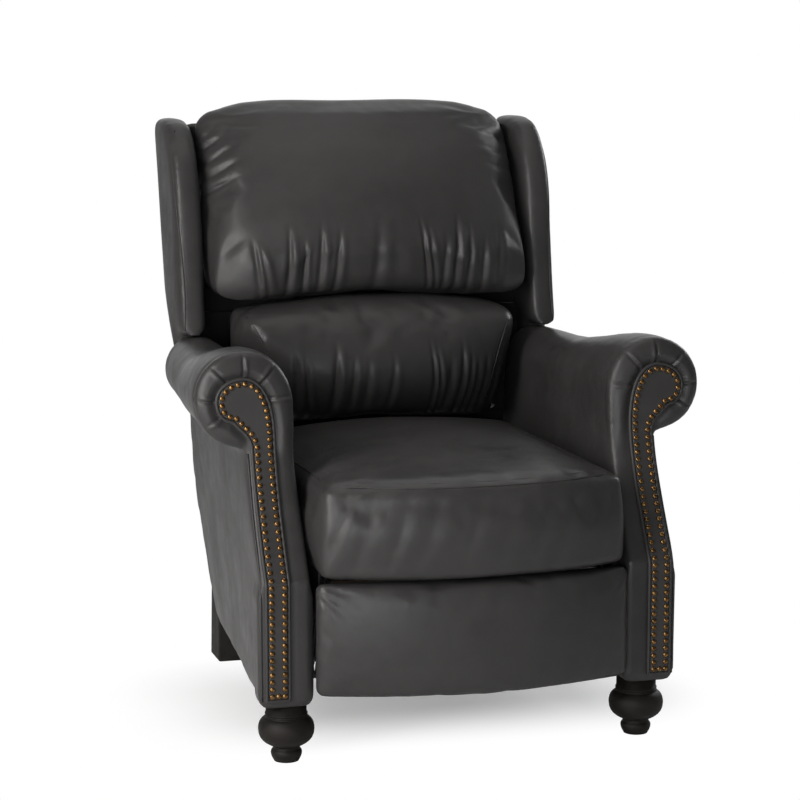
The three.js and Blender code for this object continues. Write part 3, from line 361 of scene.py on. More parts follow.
def new_object(name, mesh):
    piece = bpy.data.objects.new(name, mesh)
    bpy.context.scene.collection.objects.link(piece)
    return piece


def from_bmesh(name, bm):
    mesh = bpy.data.meshes.new(name)
    bm.to_mesh(mesh)
    bm.free()
    return new_object(name, mesh)


def shade_smooth(piece):
    mesh = piece.data
    mesh.polygons.foreach_set("use_smooth", np.ones(len(mesh.polygons), bool))
    mesh.update()


def apply_modifiers(piece):
    """Keeps what the modifiers make and takes the modifiers away."""
    graph = bpy.context.evaluated_depsgraph_get()
    made = bpy.data.meshes.new_from_object(piece.evaluated_get(graph))
    old = piece.data
    piece.modifiers.clear()
    piece.data = made
    bpy.data.meshes.remove(old)


def quad_copy(name, node):
    """A copy of a CAD solid with its doubles merged and its triangles paired into quads."""
    bm = bmesh.new()
    bm.from_mesh(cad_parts[node].data)
    bmesh.ops.remove_doubles(bm, verts=bm.verts, dist=WELD)
    bmesh.ops.join_triangles(
        bm, faces=bm.faces, angle_face_threshold=math.pi, angle_shape_threshold=math.pi,
        cmp_seam=False, cmp_sharp=False, cmp_uvs=False, cmp_vcols=False, cmp_materials=False,
    )
    return from_bmesh(name, bm)


def subdivide(piece, levels):
    modifier = piece.modifiers.new("Subdivision", "SUBSURF")
    modifier.levels = levels
    modifier.render_levels = levels
    apply_modifiers(piece)


def remesh(piece, voxel):
    modifier = piece.modifiers.new("Remesh", "REMESH")
    modifier.mode = "VOXEL"
    modifier.voxel_size = voxel
    apply_modifiers(piece)


def relax(piece, rounds, share=1.0):
    """Draws each point towards the middle of its neighbours, by a share for each point."""
    mesh = piece.data
    ends = np.zeros(len(mesh.edges) * 2, dtype=np.int32)
    mesh.edges.foreach_get("vertices", ends)
    first, last = ends.reshape(-1, 2).T
    count = np.bincount(ends, minlength=len(mesh.vertices))
    points = points_of(piece)
    for _ in range(rounds):
        for axis in range(3):
            values = points[:, axis]
            total = np.bincount(first, weights=values[last], minlength=len(values))
            total += np.bincount(last, weights=values[first], minlength=len(values))
            points[:, axis] = values + RELAX_STEP * share * (total / count - values)
    set_points(piece, points)


def refit(piece, node):
    """Stretches a softened piece back to the box of its CAD solid."""
    low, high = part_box(node)
    points = points_of(piece)
    for axis in range(3):
        values = points[:, axis]
        share = (values - values.min()) / (values.max() - values.min())
        points[:, axis] = low[axis] + share * (high[axis] - low[axis])
    set_points(piece, points)


def refine(piece, chosen):
    """Halves the edges of the faces whose middles are chosen."""
    bm = bmesh.new()
    bm.from_mesh(piece.data)
    edges = set()
    for face in bm.faces:
        if chosen(face.calc_center_median()):
            edges.update(face.edges)
    bmesh.ops.subdivide_edges(bm, edges=list(edges), cuts=1, use_grid_fill=True)
    bm.to_mesh(piece.data)
    bm.free()


def points_of(piece):
    mesh = piece.data
    points = np.zeros(len(mesh.vertices) * 3)
    mesh.vertices.foreach_get("co", points)
    return points.reshape(-1, 3)


def normals_of(piece):
    mesh = piece.data
    normals = np.zeros(len(mesh.vertices) * 3)
    mesh.vertex_normals.foreach_get("vector", normals)
    return normals.reshape(-1, 3)


def set_points(piece, points):
    piece.data.vertices.foreach_set("co", np.asarray(points, float).ravel())
    piece.data.update()


def swell(piece, pressure, slack, cap, held):
    """Blows the piece up as a sewn cover, with some slack, and lets no point move further than the cap."""
    start = points_of(piece)
    pins = piece.vertex_groups.new(name="held")
    for index in np.nonzero(held(start))[0]:
        pins.add([int(index)], 1.0, "REPLACE")
    modifier = piece.modifiers.new("Cover", "CLOTH")
    settings = modifier.settings
    settings.quality = 4
    settings.mass = 0.3
    settings.tension_stiffness = 30.0
    settings.compression_stiffness = 30.0
    settings.bending_stiffness = 0.8
    settings.use_pressure = True
    settings.uniform_pressure_force = pressure
    settings.shrink_min = -slack
    settings.effector_weights.gravity = 0.0
    settings.vertex_group_mass = "held"
    settings.pin_stiffness = 1.0
    modifier.point_cache.frame_start = 1
    modifier.point_cache.frame_end = 20
    for step in range(1, 21):
        bpy.context.scene.frame_set(step)
    apply_modifiers(piece)
    bpy.context.scene.frame_set(1)
    moved = points_of(piece) - start
    length = np.maximum(np.linalg.norm(moved, axis=1), 1e-9)
    set_points(piece, start + moved * np.minimum(1.0, cap / length)[:, None])
    piece.vertex_groups.clear()


def mirrored(name, piece):
    """The same piece for the other side of the chair."""
    bm = bmesh.new()
    bm.from_mesh(piece.data)
    bmesh.ops.scale(bm, vec=(-1.0, 1.0, 1.0), verts=bm.verts)
    bmesh.ops.reverse_faces(bm, faces=bm.faces)
    made = from_bmesh(name, bm)
    shade_smooth(made)
    return made


def both_sides(stem, piece, body, material, replaced=()):
    """Names the right piece, makes the left one, and puts both on their body."""
    piece.name = f"{stem}_right"
    shade_smooth(piece)
    pair = {"right": piece, "left": mirrored(f"{stem}_left", piece)}
    for side, made in pair.items():
        finish_piece(made, body, material, *[f"{node}_{side}" for node in replaced])
    return pair


def finish_piece(piece, body, material, *replaced):
    piece.data.materials.clear()
    piece.data.materials.append(material)
    if replaced:
        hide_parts(*replaced)
    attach(piece, body)


# Shader values written as sums

class Wire:
    """One output of a node, with the arithmetic that materials need."""

    def __init__(self, finish, socket):
        self.finish = finish
        self.socket = socket

    def _math(self, operation, *values):
        sockets = dict(enumerate(values))
        return self.finish.node("ShaderNodeMath", {"operation": operation}, sockets)

    def __add__(self, other):
        return self._math("ADD", self, other)

    __radd__ = __add__

    def __sub__(self, other):
        return self._math("SUBTRACT", self, other)

    def __rsub__(self, other):
        return self._math("SUBTRACT", other, self)

    def __mul__(self, other):
        return self._math("MULTIPLY", self, other)

    __rmul__ = __mul__

    def __truediv__(self, other):
        return self._math("DIVIDE", self, other)

    def __pow__(self, other):
        return self._math("POWER", self, other)

    def between(self, low, high):
        """0 below low, 1 above high, smoothly between."""
        settings = {"interpolation_type": "SMOOTHSTEP"}
        return self.finish.node("ShaderNodeMapRange", settings, {"Value": self, "From Min": low, "From Max": high})


class Finish:
    """A material and its nodes."""

    def __init__(self, name):
        self.material = bpy.data.materials.new(name)
        self.material.use_nodes = True
        self.tree = self.material.node_tree
        self.tree.nodes.clear()

    def node(self, kind, settings=None, sockets=None, output=0):
        """Adds a node: its settings first, then the values or links of its sockets."""
        made = self.tree.nodes.new(kind)
        for name, value in (settings or {}).items():
            if name == "stops":
                set_stops(made.color_ramp, value)
            else:
                setattr(made, name, value)
        for name, value in (sockets or {}).items():
            if isinstance(value, Wire):
                self.tree.links.new(value.socket, made.inputs[name])
            else:
                made.inputs[name].default_value = value
        return Wire(self, made.outputs[output]) if made.outputs else None

    def place(self):
        return self.node("ShaderNodeTexCoord", output="Object")

    def noise(self, place, scale, detail=3.0, roughness=0.5):
        sockets = {"Vector": place, "Scale": scale, "Detail": detail, "Roughness": roughness}
        return self.node("ShaderNodeTexNoise", None, sockets)

    def mixed(self, factor, first, second):
        settings = {"data_type": "RGBA"}
        return self.node("ShaderNodeMix", settings, {0: factor, 6: first, 7: second}, MIXED_COLOUR)

    def surface(self, sockets):
        shader = self.node("ShaderNodeBsdfPrincipled", None, sockets)
        self.node("ShaderNodeOutputMaterial", None, {"Surface": shader})
        return self.material


def set_stops(ramp, stops):
    while len(ramp.elements) < len(stops):
        ramp.elements.new(1.0)
    for element, (place, colour) in zip(ramp.elements, stops):
        element.position = place
        element.color = colour


# Lines of the arm's front, in (X, Z)

def front_of_arm(z):
    """How far forward the front of an arm stands at a height."""
    share = np.clip((z - KNEE) / (NECK - KNEE), 0.0, 1.0)
    lean = POST_FRONT + (HEAD_FRONT - POST_FRONT) * (1.0 - (1.0 - share) ** LEAN_POWER)
    return lean + np.maximum(z - NECK, 0.0) * HEAD_RAKE


def front_slope(z):
    step = MILLIMETRE
    return (front_of_arm(z + step) - front_of_arm(z - step)) / (2 * step)


def nail_line():
    """The line of the nails, up the outer column, round the scroll head and down the inner one."""
    neck = (NAIL_TOP - NAIL_NECK) / 2
    middle = NAIL_NECK + neck
    centre = (NAIL_HEAD_INNER + NAIL_HEAD_OUTER) / 2
    shoulder = centre + NAIL_CHEEK / 2
    bends = (
        ((NAIL_OUTER, NAIL_NECK), (NAIL_OUTER, middle - neck / 2), (centre, middle - neck / 3), (shoulder, middle)),
        ((shoulder, middle), (centre + NAIL_CHEEK, middle), (NAIL_HEAD_OUTER, middle + neck / 6),
         (NAIL_HEAD_OUTER, NAIL_TOP - NAIL_CHEEK)),
        ((NAIL_HEAD_OUTER, NAIL_TOP - NAIL_CHEEK), (NAIL_HEAD_OUTER, NAIL_TOP - NAIL_CHEEK / 3),
         (shoulder, NAIL_TOP), (centre, NAIL_TOP)),
        ((centre, NAIL_TOP), (centre - NAIL_CHEEK, NAIL_TOP), (NAIL_INNER, middle + neck / 4),
         (NAIL_INNER, NAIL_NECK + NAIL_CHEEK / 2)),
    )
    line = [Vector((NAIL_OUTER, NAIL_BOTTOM))]
    for bend in bends:
        line.extend(interpolate_bezier(*[Vector(point) for point in bend], BEND_STEPS))
    line.append(Vector((NAIL_INNER, NAIL_BOTTOM)))
    kept = [line[0]]
    for point in line[1:]:
        if (point - kept[-1]).length > MILLIMETRE / 2:
            kept.append(point)
    return kept


def spaced(line, pitch):
    """Points along a line at an even pitch, its two ends among them."""
    places = np.array([tuple(point) for point in line])
    lengths = np.concatenate([[0.0], np.cumsum(np.linalg.norm(np.diff(places, axis=0), axis=1))])
    count = max(2, int(round(lengths[-1] / pitch)) + 1)
    wanted = np.linspace(0.0, lengths[-1], count)
    columns = [np.interp(wanted, lengths, places[:, axis]) for axis in range(places.shape[1])]
    return np.stack(columns, axis=1)


def pushed_out(line, distance):
    """The nail line moved outwards, its two ends level below the bottom nails."""
    places = spaced(line, OUTLINE_PITCH)
    along = np.gradient(places, axis=0)
    along = along / np.linalg.norm(along, axis=1)[:, None]
    moved = places + distance * np.stack([along[:, 1], -along[:, 0]], axis=1)
    moved[0, 1] = moved[-1, 1] = NAIL_BOTTOM - distance
    return moved


def distance_to_nails(x, z):
    """How far points (X, Z) of an arm's front are from its nail line."""
    line = spaced(nail_line(), OUTLINE_PITCH)
    nearest = np.full(len(x), np.inf)
    for point in line:
        nearest = np.minimum(nearest, np.hypot(x - point[0], z - point[1]))
    return nearest


def outside_nails(x, z):
    """True for points (X, Z) outside the closed nail line."""
    line = [tuple(point) for point in nail_line()]
    crossed = np.zeros(len(x), bool)
    for (x0, z0), (x1, z1) in zip(line, line[1:] + line[:1]):
        between = (z0 > z) != (z1 > z)
        if z1 != z0:
            crossed ^= between & (x < x0 + (x1 - x0) * (z - z0) / (z1 - z0))
    return ~crossed


# Threads, cords and seams

def cord_along(name, points, radius, closed=False):
    """A round cord along a list of points, as a closed mesh."""
    curve = bpy.data.curves.new(name, "CURVE")
    curve.dimensions = "3D"
    curve.bevel_depth = radius
    curve.bevel_resolution = 2
    curve.use_fill_caps = True
    spline = curve.splines.new("POLY")
    spline.points.add(len(points) - 1)
    for target, point in zip(spline.points, points):
        target.co = (*point, 1.0)
    spline.use_cyclic_u = closed
    holder = bpy.data.objects.new(name, curve)
    bpy.context.scene.collection.objects.link(holder)
    graph = bpy.context.evaluated_depsgraph_get()
    mesh = bpy.data.meshes.new_from_object(holder.evaluated_get(graph))
    bpy.data.objects.remove(holder)
    bpy.data.curves.remove(curve)
    bm = bmesh.new()
    bm.from_mesh(mesh)
    bpy.data.meshes.remove(mesh)
    bmesh.ops.remove_doubles(bm, verts=bm.verts, dist=WELD)
    bmesh.ops.recalc_face_normals(bm, faces=bm.faces)
    piece = from_bmesh(name, bm)
    shade_smooth(piece)
    return piece


def surface_of(*pieces):
    """A tree that finds where a ray meets the pieces."""
    bm = bmesh.new()
    for piece in pieces:
        bm.from_mesh(piece.data)
    tree = BVHTree.FromBMesh(bm)
    bm.free()
    return tree


def onto(tree, starts, direction, lift):
    """Where rays along a direction meet a surface, raised a little off it."""
    found = []
    for start in starts:
        place, normal, _, _ = tree.ray_cast(Vector(start), Vector(direction))
        if place is not None:
            found.append(place + normal * lift)
    return found


def eased(points, rounds=3):
    """The same line with its small kinks taken out."""
    places = np.array([tuple(point) for point in points])
    for _ in range(rounds):
        places[1:-1] = (places[:-2] + 2 * places[1:-1] + places[2:]) / 4
    return places


def stitches(name, path, pitch, radius):
    """Short threads along a path, each a small drawn-out bead."""
    marks = spaced([Vector(point) for point in path], pitch)
    bm = bmesh.new()
    for first, last in zip(marks[:-1], marks[1:]):
        along = Vector(last - first)
        middle = Vector((first + last) / 2)
        turn = along.to_track_quat("Z", "Y").to_matrix().to_4x4()
        size = Matrix.Diagonal((radius, radius, along.length * STITCH_SHARE / 2, 1.0))
        bmesh.ops.create_uvsphere(
            bm, u_segments=6, v_segments=4, radius=1.0, matrix=Matrix.Translation(middle) @ turn @ size
        )
    piece = from_bmesh(name, bm)
    shade_smooth(piece)
    return piece


# Folds

def fold(across, width):
    """A fold's section: a groove with a raised lip beside it."""
    return 0.75 * hump(across, 0.5 * width, 0.75 * width) - hump(across, -0.5 * width, 0.5 * width)


def gathers(points, folds, low, facing):
    """Folds that rise from a seam: each is (place, lean, top, depth, width)."""
    total = np.zeros(len(points))
    for place, lean, top, depth, width in folds:
        rise = points[:, 2] - low
        across = points[:, 0] - place - lean * rise
        height = top - low
        reach = smooth(rise, -0.25 * height, 0.35 * height) * (1.0 - smooth(rise, 0.55 * height, height))
        total += depth * reach * fold(across, width * (1.0 + 0.5 * (1.0 - rise / height)))
    return total * facing


def creases(points, folds, facing):
    """Slanting creases in (X, Z): each is (X, Z, degrees, length, depth, width)."""
    total = np.zeros(len(points))
    for x, z, degrees, length, depth, width in folds:
        angle = math.radians(degrees)
        along = (points[:, 0] - x) * math.cos(angle) + (points[:, 2] - z) * math.sin(angle)
        across = (points[:, 2] - z) * math.cos(angle) - (points[:, 0] - x) * math.sin(angle)
        reach = smooth(along, -0.2 * length, 0.25 * length) * (1.0 - smooth(along, 0.35 * length, length))
        total += depth * reach * fold(across, width)
    return total * facing


# Soft pieces

def soft_copy(name, node, voxel, rounds, share=None):
    """A softened copy of a padded CAD solid, still as large as its box."""
    piece = quad_copy(name, node)
    solid = surface_of(piece)
    remesh(piece, voxel)
    set_points(piece, [solid.find_nearest(Vector(point))[0] for point in points_of(piece)])
    relax(piece, rounds, 1.0 if share is None else share(points_of(piece)))
    refit(piece, node)
    return piece


def front_profile(points):
    """How far forward a cushion's middle stands at each height, as two lists."""
    heights = np.linspace(points[:, 2].min(), points[:, 2].max(), PROFILE_STEPS)
    middle = points[np.abs(points[:, 0]) < PROFILE_HALF]
    pitch = heights[1] - heights[0]
    depths = [middle[np.abs(middle[:, 2] - height) < pitch, 1].min() for height in heights]
    return heights, np.array(depths)


def drawn_back(piece, recess):
    """Draws the front of a bowed cushion back towards its sides, by a recess for each point."""
    points = points_of(piece)
    heights, depths = front_profile(points)
    front = np.interp(points[:, 2], heights, depths)
    bow = BACK_BOW * (points[:, 0] / points[:, 0].max()) ** 2
    points[:, 1] = np.maximum(points[:, 1], front + bow + recess(points))
    set_points(piece, points)


def flanks(points):
    """A broad slope back into each side of the upper back cushion."""
    half = points[:, 0].max()
    over = np.clip((np.abs(points[:, 0]) - (half - HEAD_FLANK)) / HEAD_FLANK, 0.0, 1.0)
    return HEAD_FLANK_DEPTH * over ** HEAD_FLANK_POWER


def gussets(points):
    """The sides of the lower back cushion slope back beyond its slanting seams."""
    line = interpolate_bezier(*[Vector(point) for point in reversed(LUMBAR_SEAM_LINE)], SEAM_MARKS)
    seam = np.interp(points[:, 2], [point.y for point in line], [point.x for point in line])
    return GUSSET_SLOPE * np.maximum(np.abs(points[:, 0]) - seam, 0.0)


def push(piece, amount):
    """Moves every point along its normal."""
    set_points(piece, points_of(piece) + normals_of(piece) * amount[:, None])


def front_share(piece, low=0.15, high=0.6):
    """How much each point faces the front."""
    return smooth(-normals_of(piece)[:, 1], low, high)


def head_cushion(leather):
    low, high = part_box("head_cushion")
    piece = soft_copy("upper_back_cushion", "head_cushion", CUSHION_VOXEL, HEAD_ROUNDS)
    drawn_back(piece, flanks)
    relax(piece, FLANK_ROUNDS)
    rear = high.y - HELD_DEPTH
    swell(piece, 3.0, 0.006, 0.010, lambda points: points[:, 1] > rear)
    relax(piece, 2)
    refit(piece, "head_cushion")
    subdivide(piece, 1)
    refine(piece, lambda middle: middle.y < rear and (middle.z < HEAD_FINE or abs(middle.x) > HEAD_FINE_SIDE))
    points = points_of(piece)
    x, y, z = points.T
    z -= HEAD_DROP * (1.0 - smooth(z, low.z, HEAD_DROP_TOP)) * smooth(HEAD_DROP_REAR - y, 0.0, HEAD_DROP_RUN)
    set_points(piece, points)
    facing = front_share(piece)
    crown = np.maximum(1.0 - (x / high.x) ** 2, 0.0) * smooth(z, HEAD_LOW, HEAD_SOFT) * smooth(high.z - z, 0.0, HEAD_TOP)
    amount = HEAD_PLUMP * crown * facing
    amount += gathers(points, HEAD_GATHERS, HEAD_LOW, facing)
    amount += creases(points, HEAD_CREASES, smooth(-normals_of(piece)[:, 1], -0.2, 0.3))
    amount += 0.0010 * ripple(x, y, z, 3, 0.16)
    push(piece, amount)
    relax(piece, 1)
    shade_smooth(piece)
    finish_piece(piece, "back", leather, "head_cushion")
    return piece


def lumbar_cushion(leather):
    piece = soft_copy("lower_back_cushion", "lumbar_cushion", CUSHION_VOXEL, LUMBAR_ROUNDS)
    drawn_back(piece, gussets)
    relax(piece, 1)
    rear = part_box("lumbar_cushion")[1].y - HELD_DEPTH
    swell(piece, 3.0, 0.01, 0.012, lambda points: points[:, 1] > rear)
    relax(piece, 2)
    refit(piece, "lumbar_cushion")
    subdivide(piece, 1)
    refine(piece, lambda middle: middle.z < LUMBAR_FINE and middle.y < rear)
    points = points_of(piece)
    facing = front_share(piece)
    belly = np.maximum(1.0 - (points[:, 0] / LUMBAR_BELLY_HALF) ** 2, 0.0)
    belly *= hump(points[:, 2], LUMBAR_BELLY_HEIGHT, LUMBAR_BELLY_SPREAD) * facing
    amount = LUMBAR_BELLY * belly + gathers(points, LUMBAR_GATHERS, LUMBAR_LOW, facing)
    amount += 0.0008 * ripple(points[:, 0], points[:, 1], points[:, 2], 5, 0.15)
    push(piece, amount)
    relax(piece, 1)
    shade_smooth(piece)
    finish_piece(piece, "back", leather, "lumbar_cushion")
    return piece


def seat_cushion(leather):
    piece = soft_copy("seat_cushion_cover", "seat_cushion", CUSHION_VOXEL, SEAT_ROUNDS)
    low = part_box("seat_cushion")[0].z + 0.03
    swell(piece, 2.0, 0.004, 0.005, lambda points: points[:, 2] < low)
    relax(piece, 1)
    refit(piece, "seat_cushion")
    subdivide(piece, 1)
    points = points_of(piece)
    crown = np.maximum(1.0 - (points[:, 0] / points[:, 0].max()) ** 2, 0.0) * smooth(normals_of(piece)[:, 2], 0.3, 0.8)
    crown *= smooth(points[:, 1], SEAT_CROWN_FRONT, 0.0) * (1.0 - smooth(points[:, 1], SEAT_CROWN_BACK, 0.16))
    points[:, 2] += SEAT_CROWN * crown
    overhang = smooth(SEAT_SAG_FRONT - points[:, 1], 0.0, HELD_DEPTH)
    points[:, 2] -= SEAT_SAG * overhang * (1.0 - smooth(points[:, 2], low, SEAT_SAG_HIGH))
    set_points(piece, points)
    facing = front_share(piece)
    amount = np.zeros(len(points))
    for place, width, depth in SEAT_FOLDS:
        across = points[:, 0] - place - SEAT_FOLD_LEAN * (points[:, 2] - SEAT_FOLD_MIDDLE)
        amount += depth * fold(across, width) * hump(points[:, 2], SEAT_FOLD_MIDDLE, 0.055)
    amount *= facing
    amount += 0.0008 * ripple(points[:, 0], points[:, 1], points[:, 2], 7, 0.2)
    push(piece, amount)
    relax(piece, 1)
    shade_smooth(piece)
    finish_piece(piece, "seat", leather, "seat_cushion")
    return piece


def footrest_pad(leather):
    piece = soft_copy("footrest_cover", "footrest_pad", PAD_VOXEL, FOOTREST_ROUNDS)
    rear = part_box("footrest_pad")[1].y - 0.02
    swell(piece, 2.0, 0.004, 0.005, lambda points: points[:, 1] > rear)
    relax(piece, 1)
    refit(piece, "footrest_pad")
    subdivide(piece, 1)
    points = points_of(piece)
    bottom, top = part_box("footrest_pad")
    points[:, 0] *= 1.0 + FOOTREST_SPREAD / top.x
    rise = (points[:, 2] - bottom.z) / (top.z - bottom.z)
    points[:, 2] += FOOTREST_RISE * rise - FOOTREST_DROP * (1.0 - rise)
    set_points(piece, points)
    amount = creases(points, FOOTREST_CREASES, front_share(piece, -0.2, 0.4))
    amount += 0.0007 * ripple(points[:, 0], points[:, 1], points[:, 2], 11, 0.22)
    push(piece, amount)
    relax(piece, 1)
    shade_smooth(piece)
    finish_piece(piece, "footrest", leather, "footrest_pad")
    return piece


def arm_softness(points):
    """How freely an arm's edges are rounded: more on the roll than on the post below it."""
    return mixed_between(POST_SHARE, 1.0, smooth(points[:, 2], POST_SOFT_LOW, POST_SOFT_HIGH))


def arms(leather):
    piece = soft_copy("arm_cover_right", "arm_right", ARM_VOXEL, ARM_ROUNDS, arm_softness)
    subdivide(piece, 1)
    refine(piece, lambda middle: middle.z > PLEAT_FINE_LOW and middle.y < front_of_arm(middle.z) + PLEAT_REACH)
    points = points_of(piece)
    normals = normals_of(piece)
    x, y, z = points.T
    distance = distance_to_nails(x, z)
    behind = y - front_of_arm(z)
    facing = smooth(-normals[:, 1], 0.15, 0.7) * outside_nails(x, z)
    head = smooth(z, NAIL_NECK - 0.03, NAIL_NECK + 0.03)
    band = smooth(distance, BAND_START, BAND_FULL) * (1.0 - smooth(distance, BAND_FADE, BAND_END))
    amount = (BAND_PUFF_HEAD * head + BAND_PUFF_POST * (1.0 - head)) * band * facing
    angle = np.degrees(np.arctan2(z - SCROLL.y, x - SCROLL.x))
    radius = np.hypot(x - SCROLL.x, z - SCROLL.y)
    fade = (1.0 - smooth(behind, 0.0, PLEAT_REACH)) * smooth(distance, PLEAT_NEAR, 2 * PLEAT_NEAR)
    fade *= outside_nails(x, z)
    fade *= 1.0 - smooth(radius, PLEAT_END - PLEAT_RUN, PLEAT_END)
    for number, pleat in enumerate(PLEAT_ANGLES):
        turn = (angle - pleat + 180.0) % 360.0 - 180.0
        across = np.radians(turn) * radius * (1 if number % 2 else -1)
        near = (np.abs(turn) < 60.0) * head
        amount += PLEAT_DEPTH * fold(across, PLEAT_WIDTH) * fade * near
    amount += 0.0012 * ripple(x, y, z, 13, 0.25) * smooth(behind, 0.03, 0.12)
    post = smooth(POST_FULL_TOP - z, 0.0, POST_FULL_RUN) * smooth(POST_FULL_REAR - y, 0.0, POST_FULL_RUN)
    amount += POST_FULL * post * (1.0 - smooth(-normals[:, 1], 0.3, 0.8))
    push(piece, amount)
    relax(piece, 1)
    pair = both_sides("arm_cover", piece, "base", leather, ["arm"])
    return pair


def wings(leather):
    piece = soft_copy("wing_cover_right", "wing_right", WING_VOXEL, WING_ROUNDS)
    subdivide(piece, 1)
    points = points_of(piece)
    push(piece, 0.0008 * ripple(points[:, 0], points[:, 1], points[:, 2], 17, 0.15))
    pair = both_sides("wing_cover", piece, "back", leather, ["wing"])
    return pair


def outside_back(leather):
    piece = soft_copy("outside_back_cover", "back_panel", PAD_VOXEL, 3)
    points = points_of(piece)
    push(piece, 0.0006 * ripple(points[:, 0], points[:, 1], points[:, 2], 19, 0.25))
    shade_smooth(piece)
    finish_piece(piece, "back", leather, "back_panel")
    return piece


def sheet(name, low, high, lean, body, material):
    """A thin upright sheet between two corners, leaning back by a slope."""
    bm = bmesh.new()
    bmesh.ops.create_cube(bm, size=1.0)
    size = Vector(high) - Vector(low)
    bmesh.ops.scale(bm, vec=size, verts=bm.verts)
    bmesh.ops.translate(bm, vec=(Vector(low) + Vector(high)) / 2, verts=bm.verts)
    for vert in bm.verts:
        vert.co.y += lean * (vert.co.z - low[2])
    piece = from_bmesh(name, bm)
    finish_piece(piece, body, material)
    return piece


def gap_shade_sheets(sheet_shade):
    """Near-black fabric behind the lower back cushion and beside it, which also stands in for the shade in those gaps:
    painted shade.
    """
    frame_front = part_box("lumbar_cushion")[1].y
    frame_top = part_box("lumbar_cushion")[1].z
    low_front = frame_front - BACK_LEAN * (frame_top - PULL_LOW) - PULL_GAP
    sheet(
        "lower_shade_sheet", (-PULL_HALF, low_front - LINING_THICKNESS, PULL_LOW), (PULL_HALF, low_front, PULL_HIGH),
        BACK_LEAN, "back", sheet_shade,
    )
    for side, sign in SIDES:
        inner, outer = sorted((sign * SIDE_LINING_INNER, sign * SIDE_LINING_OUTER))
        sheet(
            f"side_shade_sheet_{side}", (inner, SIDE_LINING_FRONT, SIDE_LINING_LOW),
            (outer, SIDE_LINING_FRONT + LINING_THICKNESS, SIDE_LINING_HIGH), 0.0, "back", sheet_shade,
        )


# Seams

def seam_rays(tree, rays, lift):
    """Where rays, each a start and a direction, meet a cover."""
    found = []
    for start, direction in rays:
        place, normal, _, _ = tree.ray_cast(Vector(start), Vector(direction).normalized())
        if place is not None:
            found.append(place + normal * lift)
    return eased(found)


def arm_seams(cover, leather):
    """The corded seam down the outer front edge of each arm."""
    tree = surface_of(cover)
    rays = []
    for z in np.linspace(POST_SEAM_LOW, POST_SEAM_HIGH, SEAM_MARKS):
        start = (POST_EDGE + SEAM_THROW, front_of_arm(z) - SEAM_THROW, z)
        rays.append((start, (-1.0, 1.0, 0.0)))
    path = seam_rays(tree, rays, POST_SEAM_RADIUS * 0.2)
    return both_sides("post_seam", cord_along("post_seam_right", path, POST_SEAM_RADIUS), "base", leather)


def wing_seams(cover, leather, thread):
    """The corded seam up the outer front edge of each wing, with a row of stitches beside it."""
    tree = surface_of(cover)
    for name, inset, radius in (("wing_seam", 0.0, WING_SEAM_RADIUS), ("wing_stitches", TOPSTITCH, THREAD_RADIUS)):
        rays = []
        for share in np.linspace(0.0, 1.0, SEAM_MARKS):
            z = WING_SEAM_LOW + (WING_SEAM_HIGH - WING_SEAM_LOW) * share
            line = interpolate_bezier(*[Vector(point) for point in WING_SEAM_LINE], SEAM_MARKS)
            y = np.interp(z, [point.y for point in line], [point.x for point in line])
            start = (WING_OUTER - inset + SEAM_THROW, y - SEAM_THROW, z)
            rays.append((start, (-1.0, 1.0, 0.0)))
        path = seam_rays(tree, rays, radius * 0.3)
        if name == "wing_seam":
            both_sides(name, cord_along(name + "_right", path, radius), "back", leather)
        else:
            both_sides(name, stitches(name + "_right", path, STITCH_PITCH, radius), "back", thread)


def lumbar_seams(cover, leather, thread):
    """The slanting seam between the front and each side of the lower back cushion, and its stitches."""
    tree = surface_of(cover)
    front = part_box("lumbar_cushion")[0].y
    line = interpolate_bezier(*[Vector(point) for point in LUMBAR_SEAM_LINE], SEAM_MARKS)
    for side, sign in SIDES:
        for name, inset, radius in (("seam", 0.0, LUMBAR_SEAM_RADIUS), ("stitches", TOPSTITCH, THREAD_RADIUS)):
            rays = [((sign * (point.x - inset), front - SEAM_THROW, point.y), (0.0, 1.0, 0.0)) for point in line]
            path = seam_rays(tree, rays, radius * 0.3)
            piece_name = f"lumbar_{name}_{side}"
            if name == "seam":
                finish_piece(cord_along(piece_name, path, radius), "back", leather)
            else:
                finish_piece(stitches(piece_name, path, STITCH_PITCH, radius), "back", thread)


def seat_seams(cover, leather, thread):
    """The seam round the top of the seat cushion's border, with a row of stitches above it."""
    tree = surface_of(cover)
    low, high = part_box("seat_cushion")
    for name, rise, radius in (("seat_seam", 0.0, SEAT_SEAM_RADIUS), ("seat_stitches", TOPSTITCH, THREAD_RADIUS)):
        rays = []
        for degrees in np.linspace(-SEAT_SEAM_TURN, SEAT_SEAM_TURN, 5 * SEAM_MARKS):
            angle = math.radians(degrees)
            out = Vector((math.sin(angle), -math.cos(angle), 0.0))
            start = Vector((0.0, SEAT_SEAM_CENTRE, SEAT_SEAM_HEIGHT + rise)) + out
            rays.append((start, -out))
        path = seam_rays(tree, rays, radius * 0.3)
        if name == "seat_seam":
            finish_piece(cord_along(name, path, radius), "seat", leather)
        else:
            finish_piece(stitches(name, path, STITCH_PITCH, radius), "seat", thread)


# Feet

def foot_outline():
    """Half the section of a turned foot, from the floor up, as (radius, height)."""
    line = [Vector((0.0, 0.0))]
    for bend in FOOT_BENDS:
        line.extend(interpolate_bezier(*[Vector(point) for point in bend], FOOT_STEPS))
    line.extend([Vector((FOOT_COLLAR, FOOT_TOP)), Vector((0.0, FOOT_TOP))])
    return line


